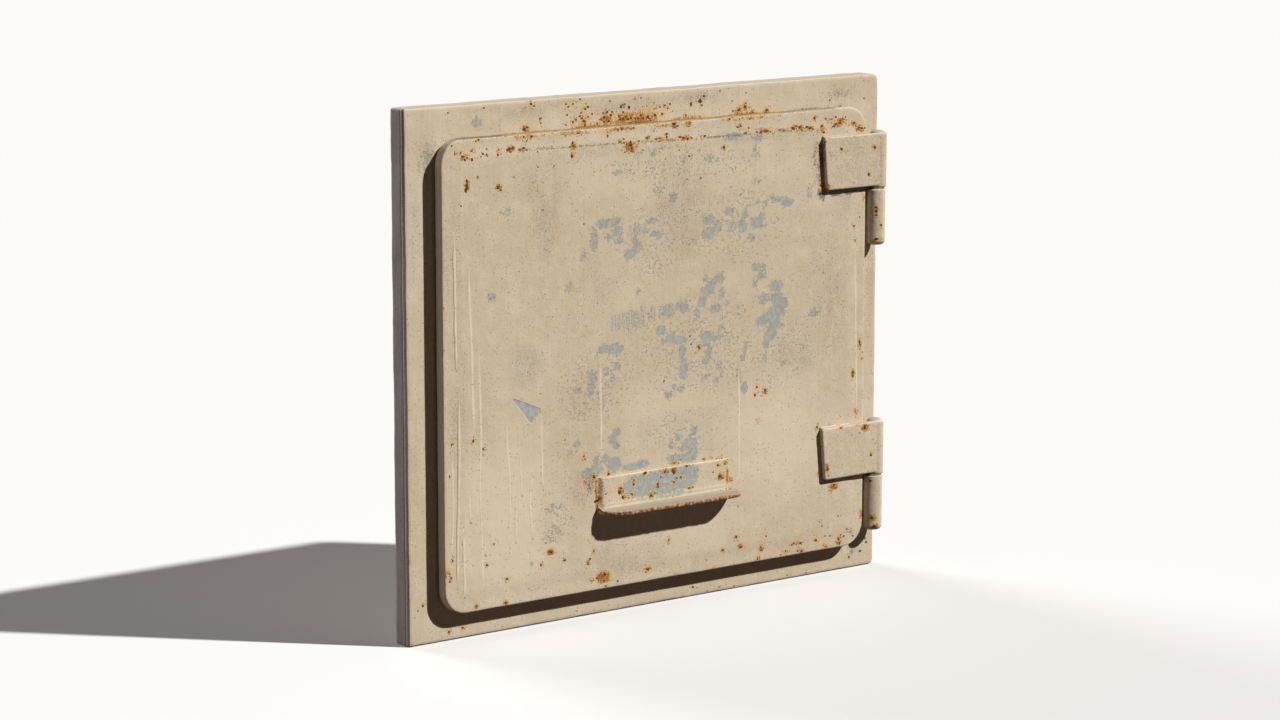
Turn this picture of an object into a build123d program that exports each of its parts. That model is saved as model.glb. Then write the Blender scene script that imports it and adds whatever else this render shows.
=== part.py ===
# Wall access hatch: a welded steel frame and a pressed steel door on two barrel hinges.
# Millimetres. +Z is up, +X is towards the hinges, the front faces -Y and the wall is Y = 0.
# The origin is on the wall face of the bottom edge bar, at the middle of its length
# and of its thickness. A depth is the distance of a plane in front of the wall.
from build123d import *
import math
import os

# Frame
frame_width = 592.0
frame_height = 520.8
frame_depth = 23.0
face_thickness = 5.0
edge_thickness = 6.0
face_overhang = 0.3  # face plate past the edge bars
face_edge_radius = 1.2
hinge_top_radius = 7.0
hinge_bottom_radius = 6.0
free_top_bevel = 3.0
free_bottom_radius = 1.5

# Door, which leaves a margin of the frame's face on each side
free_margin = 33.0
hinge_margin = 27.0
top_margin = 30.8
bottom_margin = 28.0
door_standoff = 13.5  # door border in front of the frame's face
door_corner_radius = 25.0
door_edge_radius = 1.5
door_sheet = 3.0
border_width = 15.0
field_raise = 0.5
field_slope = 4.0
shut_gap = 3.0  # between the door's return flange and the frame's face

# Seal
coaming_thickness = 3.0
coaming_clearance = 5.0  # from the coaming to the door's metal on each side of it
seal_clearance = 0.3
retainer_thickness = 3.0
retainer_height = 4.0

# Stiffeners on the back of the door
stiffener_spacing = 210.0
stiffener_crown = 30.0
stiffener_flange = 12.0
stiffener_depth = 12.0
stiffener_sheet = 2.0
stiffener_end_margin = 30.0

# Hinges
barrel_diameter = 17.0
barrel_end_radius = 5.0
barrel_gap = 2.5  # barrel in front of the frame's face
barrel_inset = 1.0  # from the frame's side
knuckle_length = 59.0
pin_diameter = 10.0
pin_engagement = 40.0  # in each knuckle
pin_end_clearance = 1.0
pin_chamfer = 1.0
pin_press_clearance = 0.02
pin_running_clearance = 0.06
washer_thickness = 1.2
washer_step = 0.8
washer_clearance = 0.15
seam_clearance = 0.3
upper_seam_drop = 117.5  # below the frame's top
lower_seam_rise = 100.3  # above the frame's bottom
leaf_thickness = 5.0
leaf_height = 55.0
leaf_lap = 61.5  # leaf on the door, from the door's edge
leaf_corner_radius = 3.0
leaf_edge_radius = 1.0
leaf_skew = 5.0  # lower end of the leaf's free edge, towards the hinge
barrel_weld_width = 10.0
barrel_weld_margin = 3.0

# Handle
handle_length = 165.0
handle_flange_height = 37.0
handle_flange_thickness = 3.0
handle_ledge_depth = 24.0
handle_ledge_thickness = 4.0
handle_ledge_reach = 6.0  # ledge past the flange, on the hinge side
handle_bend_radius = 3.0
handle_edge_radius = 1.2
handle_free_corner_radius = 22.5
handle_hinge_corner_radius = 14.0
handle_rise = 105.3  # underside above the frame's bottom

# Fillet welds
weld_leg = 2.0
weld_toe = 0.5

frame_bottom = -face_overhang - edge_thickness / 2
frame_top = frame_bottom + frame_height
frame_z = frame_bottom + frame_height / 2
door_width = frame_width - free_margin - hinge_margin
door_height = frame_height - top_margin - bottom_margin
door_x = (free_margin - hinge_margin) / 2
door_z = frame_z + (bottom_margin - top_margin) / 2
face_back = frame_depth - face_thickness
border_front = frame_depth + door_standoff
field_front = border_front + field_raise
skin_back = border_front - door_sheet
field_back = field_front - door_sheet
return_edge = frame_depth + shut_gap
door_edge_x = door_x + door_width / 2
coaming_front = skin_back - coaming_clearance
coaming_inset = door_sheet + coaming_clearance
gasket_width = 2 * coaming_clearance + coaming_thickness
retainer_inset = door_sheet + gasket_width
barrel_radius = barrel_diameter / 2
pin_radius = pin_diameter / 2
hinge_x = frame_width / 2 - barrel_inset - barrel_radius
hinge_depth = frame_depth + barrel_gap + barrel_radius
leaf_left = door_edge_x - leaf_lap
seams = {"upper": frame_top - upper_seam_drop, "lower": frame_bottom + lower_seam_rise}


def front_plane(depth, x=0.0, z=frame_z):
    """A plane parallel to the wall, with its normal out of the wall."""
    return Plane(origin=(x, -depth, z), x_dir=(1, 0, 0), z_dir=(0, -1, 0))


def door_plane(depth):
    """A plane parallel to the wall, centred on the door."""
    return front_plane(depth, x=door_x, z=door_z)


def side_plane(x):
    """A plane across the hatch: local x is the depth, local y is Z, and the normal is -X."""
    return Plane(origin=(x, 0, 0), x_dir=(0, -1, 0), z_dir=(-1, 0, 0))


def frame_outline(inset):
    """The frame's outline with its four unlike corners, in the current sketch."""
    half_width = frame_width / 2 - inset
    half_height = frame_height / 2 - inset
    Rectangle(2 * half_width, 2 * half_height)
    fillet(vertices().sort_by_distance((half_width, half_height))[0], hinge_top_radius)
    fillet(vertices().sort_by_distance((half_width, -half_height))[0], hinge_bottom_radius)
    fillet(vertices().sort_by_distance((-half_width, -half_height))[0], free_bottom_radius)
    chamfer(vertices().sort_by_distance((-half_width, half_height))[0], free_top_bevel)


def door_outline(inset, mode=Mode.ADD):
    """The door's rounded outline, moved in by the inset, in the current sketch."""
    radius = door_corner_radius - inset
    RectangleRounded(door_width - 2 * inset, door_height - 2 * inset, radius, mode=mode)


def keep(builder, name):
    """Label a finished piece and write it."""
    builder.part.label = name
    export_step(builder.part, f"parts/{name}.step")


os.makedirs("parts", exist_ok=True)

# Frame: face plate with the hatch opening
with BuildPart() as frame_face:
    with BuildSketch(front_plane(face_back)):
        frame_outline(0)
    extrude(amount=face_thickness)
    with BuildSketch(door_plane(face_back)):
        door_outline(coaming_inset)
    extrude(amount=face_thickness, mode=Mode.SUBTRACT)
    front_face = frame_face.faces().sort_by(Axis.Y)[0]
    fillet(front_face.outer_wire().edges(), face_edge_radius)
keep(frame_face, "frame_face")

# Frame: four mitred edge bars between the wall and the face plate
bar_x = frame_width / 2 - face_overhang
bar_z = frame_height / 2 - face_overhang
inner_x = bar_x - edge_thickness
inner_z = bar_z - edge_thickness
edge_mitres = {
    "top": [(-bar_x, bar_z), (bar_x, bar_z), (inner_x, inner_z), (-inner_x, inner_z)],
    "bottom": [(-bar_x, -bar_z), (bar_x, -bar_z), (inner_x, -inner_z), (-inner_x, -inner_z)],
    "free": [(-bar_x, -bar_z), (-bar_x, bar_z), (-inner_x, inner_z), (-inner_x, -inner_z)],
    "hinge": [(bar_x, -bar_z), (bar_x, bar_z), (inner_x, inner_z), (inner_x, -inner_z)],
}
for side, corners in edge_mitres.items():
    with BuildPart() as frame_edge:
        with BuildSketch(front_plane(0)):
            frame_outline(face_overhang)
            Polygon(*corners, align=None, mode=Mode.INTERSECT)
        extrude(amount=face_back)
    keep(frame_edge, f"frame_edge_{side}")

# Frame: coaming round the opening, which the door's gasket closes on
with BuildPart() as opening_coaming:
    with BuildSketch(door_plane(0)):
        door_outline(coaming_inset)
        door_outline(coaming_inset + coaming_thickness, mode=Mode.SUBTRACT)
    extrude(amount=coaming_front)
keep(opening_coaming, "opening_coaming")

# Door: pressed pan with a return flange and a raised field
with BuildPart() as door_pan:
    with BuildSketch(door_plane(return_edge)):
        door_outline(0)
    extrude(amount=border_front - return_edge)
    fillet(door_pan.faces().sort_by(Axis.Y)[0].edges(), door_edge_radius)
    with BuildSketch(door_plane(border_front)):
        door_outline(border_width)
    with BuildSketch(door_plane(field_front)):
        door_outline(border_width + field_slope)
    loft(ruled=True)
    with BuildSketch(door_plane(return_edge)):
        door_outline(door_sheet)
    extrude(amount=skin_back - return_edge, mode=Mode.SUBTRACT)
    with BuildSketch(door_plane(skin_back)):
        door_outline(retainer_inset + retainer_thickness)
    with BuildSketch(door_plane(field_back)):
        door_outline(retainer_inset + retainer_thickness + field_slope)
    loft(ruled=True, mode=Mode.SUBTRACT)
keep(door_pan, "door_pan")

# Door: gasket in the pan's border, opposite the coaming
with BuildPart() as door_gasket:
    with BuildSketch(door_plane(coaming_front + seal_clearance)):
        door_outline(door_sheet)
        door_outline(retainer_inset, mode=Mode.SUBTRACT)
    extrude(amount=skin_back - coaming_front - seal_clearance)
keep(door_gasket, "door_gasket")

# Door: flat bars that hold the gasket's inner side, between its round corners
retainer_x = door_width / 2 - retainer_inset - retainer_thickness / 2
retainer_z = door_height / 2 - retainer_inset - retainer_thickness / 2
retainer_length_x = door_width - 2 * door_corner_radius
retainer_length_z = door_height - 2 * door_corner_radius
retainers = {
    "top": (0, retainer_z, retainer_length_x, retainer_thickness),
    "bottom": (0, -retainer_z, retainer_length_x, retainer_thickness),
    "free": (-retainer_x, 0, retainer_thickness, retainer_length_z),
    "hinge": (retainer_x, 0, retainer_thickness, retainer_length_z),
}
for side, (x, z, length_x, length_z) in retainers.items():
    with BuildPart() as gasket_retainer:
        with BuildSketch(door_plane(skin_back - retainer_height)):
            with Locations((x, z)):
                Rectangle(length_x, length_z)
        extrude(amount=retainer_height)
    keep(gasket_retainer, f"gasket_retainer_{side}")

# Door: two top-hat stiffeners across the back of the field
stiffener_length = door_width - 2 * stiffener_end_margin
stiffener_heights = {
    "upper": door_z + stiffener_spacing / 2,
    "lower": door_z - stiffener_spacing / 2,
}
for level, height in stiffener_heights.items():
    with BuildPart() as door_stiffener:
        with BuildSketch(side_plane(door_x + stiffener_length / 2)):
            with Locations((field_back, height)):
                full_width = stiffener_crown + 2 * stiffener_flange
                hollow = stiffener_crown - 2 * stiffener_sheet
                at_skin = (Align.MAX, Align.CENTER)
                Rectangle(stiffener_depth, stiffener_crown, align=at_skin)
                Rectangle(stiffener_sheet, full_width, align=at_skin)
                Rectangle(
                    stiffener_depth - stiffener_sheet,
                    hollow,
                    align=at_skin,
                    mode=Mode.SUBTRACT,
                )
        extrude(amount=stiffener_length)
    keep(door_stiffener, f"door_stiffener_{level}")

# Door: angle handle with a flange on the door and a ledge to pull on
handle_underside = frame_bottom + handle_rise
handle_top = handle_underside + handle_flange_height
ledge_top = handle_underside + handle_ledge_thickness
ledge_front = field_front + handle_ledge_depth
ledge_length = handle_length + handle_ledge_reach
ledge_free_end = door_x - handle_length / 2
ledge_hinge_end = ledge_free_end + ledge_length
with BuildPart() as handle_angle:
    with BuildSketch(Plane.XY.offset(handle_underside)):
        with Locations((ledge_free_end, -field_front)):
            Rectangle(ledge_length, handle_ledge_depth, align=(Align.MIN, Align.MAX))
        free_corner = (ledge_free_end, -ledge_front)
        hinge_corner = (ledge_hinge_end, -ledge_front)
        fillet(vertices().sort_by_distance(free_corner)[0], handle_free_corner_radius)
        fillet(vertices().sort_by_distance(hinge_corner)[0], handle_hinge_corner_radius)
    extrude(amount=handle_ledge_thickness)
    for level_face in handle_angle.faces().filter_by(Axis.Z):
        fillet(level_face.edges().sort_by(Axis.Y)[:-1], handle_edge_radius)
    with BuildSketch(side_plane(door_x + handle_length / 2)):
        with Locations((field_front, handle_underside)):
            foot = handle_flange_thickness + handle_bend_radius + handle_edge_radius
            low_corner = (Align.MIN, Align.MIN)
            Rectangle(handle_flange_thickness, handle_flange_height, align=low_corner)
            Rectangle(foot, handle_ledge_thickness, align=low_corner)
        inner_corner = (field_front + handle_flange_thickness, ledge_top)
        fillet(vertices().sort_by_distance(inner_corner)[0], handle_bend_radius)
    extrude(amount=handle_length)
keep(handle_angle, "handle_angle")

# Door: a weld bead at each end of the handle's flange, above the ledge
bead_width = weld_leg + weld_toe
bead_slope = math.degrees(math.atan(1))
bead_height = handle_top - ledge_top
for side, direction in {"free": -1, "hinge": 1}.items():
    flange_end = door_x + direction * handle_length / 2
    with BuildPart() as handle_weld:
        with BuildSketch(front_plane(field_front, x=flange_end, z=ledge_top)):
            Rectangle(2 * bead_width, bead_height, align=(Align.CENTER, Align.MIN))
        extrude(amount=weld_leg, taper=bead_slope)
        with BuildSketch(front_plane(field_front, x=door_x, z=ledge_top)):
            Rectangle(handle_length, bead_height, align=(Align.CENTER, Align.MIN))
        extrude(amount=handle_flange_thickness, mode=Mode.SUBTRACT)
    keep(handle_weld, f"handle_weld_{side}")

# Barrel hinges: the lower knuckle is on the frame, the upper one on the door
hinge_axis = Axis((hinge_x, -hinge_depth, 0), (0, 0, 1))
frame_bore_radius = pin_radius + pin_press_clearance
door_bore_radius = pin_radius + pin_running_clearance


def knuckle_section(length, bore_radius, bore_depth, upward):
    """Half of a knuckle's section with its blind bore, from its open end at the sketch's origin."""
    start = (Align.MIN, Align.MIN if upward else Align.MAX)
    end = length if upward else -length
    Rectangle(barrel_radius, length, align=start)
    fillet(vertices().sort_by_distance((barrel_radius, end))[0], barrel_end_radius)
    Rectangle(bore_radius, bore_depth, align=start, mode=Mode.SUBTRACT)


for level, seam in seams.items():
    frame_knuckle_top = seam - washer_thickness / 2
    washer_top = seam + washer_thickness / 2
    door_knuckle_bottom = washer_top + seam_clearance

    # Knuckle welded to the frame, with the pin pressed into it
    with BuildPart() as frame_knuckle:
        with BuildSketch(front_plane(hinge_depth, x=hinge_x, z=frame_knuckle_top)):
            knuckle_section(knuckle_length, frame_bore_radius, pin_engagement, upward=False)
        revolve(axis=hinge_axis)
    keep(frame_knuckle, f"frame_knuckle_{level}")

    with BuildPart() as hinge_pin:
        pin_length = 2 * pin_engagement + door_knuckle_bottom - frame_knuckle_top
        with BuildSketch(Plane.XY.offset(frame_knuckle_top - pin_engagement)):
            with Locations((hinge_x, -hinge_depth)):
                Circle(pin_radius)
        extrude(amount=pin_length)
        chamfer(hinge_pin.faces().sort_by(Axis.Z)[-1].edges(), pin_chamfer)
    keep(hinge_pin, f"hinge_pin_{level}")

    with BuildPart() as hinge_washer:
        with BuildSketch(Plane.XY.offset(frame_knuckle_top)):
            with Locations((hinge_x, -hinge_depth)):
                Circle(barrel_radius - washer_step)
                Circle(pin_radius + washer_clearance, mode=Mode.SUBTRACT)
        extrude(amount=washer_thickness)
    keep(hinge_washer, f"hinge_washer_{level}")

    # Weld that fills the gap between the frame's knuckle and its face
    with BuildPart() as barrel_weld:
        weld_bottom = frame_knuckle_top - knuckle_length + barrel_weld_margin
        with BuildSketch(Plane.XY.offset(weld_bottom)):
            with Locations((hinge_x, -frame_depth)):
                Rectangle(
                    barrel_weld_width,
                    hinge_depth - frame_depth,
                    align=(Align.CENTER, Align.MAX),
                )
            with Locations((hinge_x, -hinge_depth)):
                Circle(barrel_radius, mode=Mode.SUBTRACT)
        extrude(amount=knuckle_length - 2 * barrel_weld_margin)
    keep(barrel_weld, f"barrel_weld_{level}")

    # Knuckle on the door, which turns on the pin
    with BuildPart() as door_knuckle:
        with BuildSketch(front_plane(hinge_depth, x=hinge_x, z=door_knuckle_bottom)):
            bore_depth = pin_engagement + pin_end_clearance
            knuckle_section(knuckle_length, door_bore_radius, bore_depth, upward=True)
        revolve(axis=hinge_axis)
    keep(door_knuckle, f"door_knuckle_{level}")

    # Flat leaf from the door's knuckle over the edge of the door
    leaf_z = door_knuckle_bottom + knuckle_length / 2
    leaf_plane = front_plane(field_front, z=leaf_z)
    leaf_ends = [(leaf_left, leaf_height / 2), (leaf_left + leaf_skew, -leaf_height / 2)]
    with BuildPart() as hinge_leaf:
        with BuildSketch(leaf_plane):
            far_ends = [(hinge_x, -leaf_height / 2), (hinge_x, leaf_height / 2)]
            Polygon(*leaf_ends, *far_ends, align=None)
            for corner in leaf_ends:
                fillet(vertices().sort_by_distance(corner)[0], leaf_corner_radius)
        extrude(amount=leaf_thickness)
        with BuildSketch(Plane.XY.offset(leaf_z - leaf_height / 2)):
            with Locations((hinge_x, -hinge_depth)):
                Circle(barrel_radius)
        extrude(amount=leaf_height, mode=Mode.SUBTRACT)
        front_edges = hinge_leaf.faces().sort_by(Axis.Y)[0].edges()
        fillet(front_edges.sort_by(Axis.X)[:-1], leaf_edge_radius)
    keep(hinge_leaf, f"hinge_leaf_{level}")

    # Weld bead along the leaf's top edge, as far as the door's raised field goes
    with BuildPart() as leaf_weld:
        field_edge = door_edge_x - border_width - field_slope
        with BuildSketch(leaf_plane):
            with Locations((leaf_left, leaf_height / 2)):
                Rectangle(
                    field_edge - leaf_left,
                    bead_width,
                    align=(Align.MIN, Align.MIN),
                )
                Rectangle(
                    field_edge - leaf_left,
                    bead_width,
                    align=(Align.MIN, Align.MAX),
                )
        extrude(amount=weld_leg, taper=bead_slope)
        with BuildSketch(leaf_plane):
            with Locations((leaf_left, leaf_height / 2)):
                Rectangle(
                    field_edge - leaf_left,
                    bead_width,
                    align=(Align.MIN, Align.MAX),
                )
        extrude(amount=weld_leg, mode=Mode.SUBTRACT)
    keep(leaf_weld, f"leaf_weld_{level}")
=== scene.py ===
"""Weathered steel access hatch: dented sheet, thick paint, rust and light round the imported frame."""
import math
import random

import bmesh
import bpy
import numpy as np
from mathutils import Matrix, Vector, noise


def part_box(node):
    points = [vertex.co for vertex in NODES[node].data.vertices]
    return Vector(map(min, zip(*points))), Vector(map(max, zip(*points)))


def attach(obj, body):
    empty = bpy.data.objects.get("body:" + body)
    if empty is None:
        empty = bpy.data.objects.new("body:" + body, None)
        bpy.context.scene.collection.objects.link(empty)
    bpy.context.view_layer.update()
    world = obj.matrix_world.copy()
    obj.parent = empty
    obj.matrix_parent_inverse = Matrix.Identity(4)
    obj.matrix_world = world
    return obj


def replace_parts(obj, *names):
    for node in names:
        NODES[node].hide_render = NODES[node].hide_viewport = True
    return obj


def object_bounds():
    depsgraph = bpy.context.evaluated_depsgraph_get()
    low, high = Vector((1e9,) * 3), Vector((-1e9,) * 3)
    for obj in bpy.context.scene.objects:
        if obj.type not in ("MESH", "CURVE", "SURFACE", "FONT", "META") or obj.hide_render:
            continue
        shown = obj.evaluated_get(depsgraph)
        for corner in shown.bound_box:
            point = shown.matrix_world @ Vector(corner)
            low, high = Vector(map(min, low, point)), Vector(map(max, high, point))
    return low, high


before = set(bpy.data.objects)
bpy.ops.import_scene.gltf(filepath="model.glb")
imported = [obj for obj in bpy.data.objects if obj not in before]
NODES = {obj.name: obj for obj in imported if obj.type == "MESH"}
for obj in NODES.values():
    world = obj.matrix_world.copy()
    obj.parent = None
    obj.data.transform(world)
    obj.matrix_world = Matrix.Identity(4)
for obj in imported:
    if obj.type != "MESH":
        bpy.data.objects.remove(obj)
cad_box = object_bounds()
MM = 0.001
rng = random.Random(41)

# Camera, as the photograph was taken
AZIMUTH = math.radians(-37.528)
ELEVATION = math.radians(9.868)
DISTANCE = 3.64628
LOOK_AT = Vector((-0.0154, -0.0230, 0.2486))
LENS_MM = 102.77
SENSOR_MM = 36.0
IMAGE_SIZE = (1280, 720)

# The part's own boxes: low and high corners, in metres
face_lo, face_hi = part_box("frame_face")
door_lo, door_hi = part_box("door_pan")
handle_lo, handle_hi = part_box("handle_angle")
leaf_boxes = {level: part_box(f"hinge_leaf_{level}") for level in ("upper", "lower")}
knuckle_boxes = {level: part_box(f"frame_knuckle_{level}") for level in ("upper", "lower")}

# Planes that the photograph's marks lie on: distance in front of the wall
FLANGE_SHEET = 3 * MM
FRAME_FACE = -face_lo.y
DOOR_FIELD = -door_lo.y
LEAF_FRONT = -leaf_boxes["upper"][0].y
HANDLE_FRONT = DOOR_FIELD + FLANGE_SHEET


def make_camera():
    """The camera, and the function that finds where a pixel of the photograph meets the part."""
    back = Vector(
        (
            math.sin(AZIMUTH) * math.cos(ELEVATION),
            -math.cos(AZIMUTH) * math.cos(ELEVATION),
            math.sin(ELEVATION),
        )
    )
    data = bpy.data.cameras.new("camera")
    data.lens = LENS_MM
    data.sensor_width = SENSOR_MM
    data.clip_start = 0.1
    data.clip_end = 100.0
    camera = bpy.data.objects.new("camera", data)
    bpy.context.scene.collection.objects.link(camera)
    camera.location = LOOK_AT + back * DISTANCE
    camera.rotation_euler = (-back).to_track_quat("-Z", "Y").to_euler()
    bpy.context.scene.camera = camera
    turn = camera.rotation_euler.to_matrix()
    place = camera.location.copy()
    focal = LENS_MM / SENSOR_MM * IMAGE_SIZE[0]

    def on_plane(u, v, depth):
        """The X and Z, in metres, where the photograph's pixel meets the plane at this depth."""
        ray = turn @ Vector(((u - IMAGE_SIZE[0] / 2) / focal, (IMAGE_SIZE[1] / 2 - v) / focal, -1))
        hit = place + ray * ((-depth - place.y) / ray.y)
        return hit.x, hit.z

    return on_plane


on_plane = make_camera()


class Graph:
    """A material's node tree, built from short calls that return sockets."""

    def __init__(self, name):
        self.material = bpy.data.materials.new(name)
        self.material.use_nodes = True
        self.tree = self.material.node_tree
        self.shader = self.tree.nodes["Principled BSDF"]
        self.point = self.tree.nodes.new("ShaderNodeTexCoord").outputs["Object"]

    def node(self, kind, links, **settings):
        """A node with its settings, its numbered or named inputs linked or set."""
        made = self.tree.nodes.new(kind)
        for key, value in settings.items():
            setattr(made, key, value)
        for key, value in links.items():
            if isinstance(value, bpy.types.NodeSocket):
                self.tree.links.new(value, made.inputs[key])
            else:
                made.inputs[key].default_value = value
        return made

    def math(self, operation, a, b=0.0, c=0.0, clamp=False):
        made = self.node("ShaderNodeMath", {0: a, 1: b, 2: c}, operation=operation, use_clamp=clamp)
        return made.outputs[0]

    def vector(self, operation, a, b=(0, 0, 0), c=(0, 0, 0)):
        made = self.node("ShaderNodeVectorMath", {0: a, 1: b, 2: c}, operation=operation)
        return made.outputs["Value" if operation in ("DOT_PRODUCT", "LENGTH") else "Vector"]

    def stretch(self, scale):
        """The point, scaled along each axis."""
        return self.vector("MULTIPLY", self.point, scale)

    def noise(self, scale, detail=4.0, rough=0.5, vector=None):
        made = self.node(
            "ShaderNodeTexNoise",
            {"Vector": vector or self.point, "Scale": scale, "Detail": detail, "Roughness": rough},
        )
        return made.outputs["Fac"]

    def cells(self, scale, vector=None):
        """Distance to the nearest cell point, and that cell's own random number."""
        made = self.node("ShaderNodeTexVoronoi", {"Vector": vector or self.point, "Scale": scale})
        split = self.node("ShaderNodeSeparateColor", {0: made.outputs["Color"]})
        return made.outputs["Distance"], split.outputs[0]

    def field(self, name):
        """A number that the mesh carries at its vertices, or 0 where it carries none."""
        made = self.tree.nodes.new("ShaderNodeAttribute")
        made.attribute_name = name
        return made.outputs["Fac"]

    def step(self, value, low, high):
        """0 at low and 1 at high, either way round, eased between them."""
        made = self.node(
            "ShaderNodeMapRange",
            {0: value, 1: low, 2: high, 3: 0.0, 4: 1.0},
            interpolation_type="SMOOTHSTEP",
        )
        return made.outputs[0]

    def mix(self, amount, a, b):
        """Colour a where amount is 0, and b where it is 1."""
        made = self.node("ShaderNodeMix", {0: amount, 6: a, 7: b}, data_type="RGBA")
        return made.outputs[2]

    def add(self, *values):
        total = values[0]
        for value in values[1:]:
            total = self.math("ADD", total, value)
        return total

    def times(self, *values):
        product = values[0]
        for value in values[1:]:
            product = self.math("MULTIPLY", product, value)
        return product

    def swing(self, value, amount):
        """A noise round 0 instead of round a half, times an amount."""
        return self.times(self.math("SUBTRACT", value, 0.5), amount)

    def most(self, *values):
        top = values[0]
        for value in values[1:]:
            top = self.math("MAXIMUM", top, value)
        return top

    def bump(self, height, distance, strength=1.0, below=None):
        links = {"Height": height, "Distance": distance, "Strength": strength}
        if below is not None:
            links["Normal"] = below
        return self.node("ShaderNodeBump", links).outputs[0]

    def finish(self, colour, roughness, normal=None, metallic=0.0, specular=0.5):
        for key, value in (
            ("Base Color", colour),
            ("Roughness", roughness),
            ("Normal", normal),
            ("Metallic", metallic),
            ("Specular IOR Level", specular),
        ):
            if isinstance(value, bpy.types.NodeSocket):
                self.tree.links.new(value, self.shader.inputs[key])
            elif value is not None:
                self.shader.inputs[key].default_value = value
        return self.material


# Marks read from the photograph: pixel column, row, half width, half height, and a strength if not 1
RUST_ON_FRAME = [
    (535, 132, 30, 2.6, 0.8), (590, 127, 30, 3, 1.15), (640, 122, 30, 3, 1.3), (690, 118, 30, 2.4, 0.95),
    (750, 114, 40, 2.4, 1.1), (636, 115, 40, 7, 0.85), (577, 106, 18, 8, 0.5), (655, 106, 14, 6, 0.5),
    (745, 108, 10, 5, 0.7), (585, 118, 12, 9, 0.6), (526, 128, 6, 4), (540, 121, 3, 5, 0.7),
    (532, 104, 5, 4, 0.7), (570, 106, 8, 8, 0.5), (583, 120, 7, 8, 0.9), (575, 121, 6, 4, 0.7),
    (590, 114, 4, 3, 0.7), (606, 119, 8, 5, 1.3), (624, 119, 9, 5, 1.3), (640, 119, 12, 4, 1.3),
    (604, 113, 9, 5, 0.6), (626, 116, 16, 5, 0.8), (656, 116, 6, 5, 0.8), (663, 114, 4, 4, 0.7),
    (668, 108, 6, 4, 0.6), (630, 122, 40, 2.4), (686, 115, 3, 3, 0.6), (691, 104, 2, 3, 0.8),
    (701, 103, 4, 5, 0.8), (739, 110, 4, 4, 1.1), (745, 106, 3, 5, 1.1), (767, 110, 5, 3, 0.9),
    (754, 112, 8, 2, 0.7), (840, 106, 3, 2, 0.7), (830, 100, 2, 3, 0.6), (449, 632, 3, 4, 0.8),
    (463, 628, 4, 3, 0.7), (423, 606, 3, 4, 0.7), (577, 611, 3, 2, 0.5), (693, 587, 4, 3, 0.8),
    (719, 587, 2, 2, 0.6), (734, 586, 2, 2, 0.6), (849, 557, 2, 3, 0.8), (409, 562, 2, 5, 0.9),
    (408, 535, 2, 3, 0.8), (787, 575, 3, 2, 0.5),
]
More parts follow.
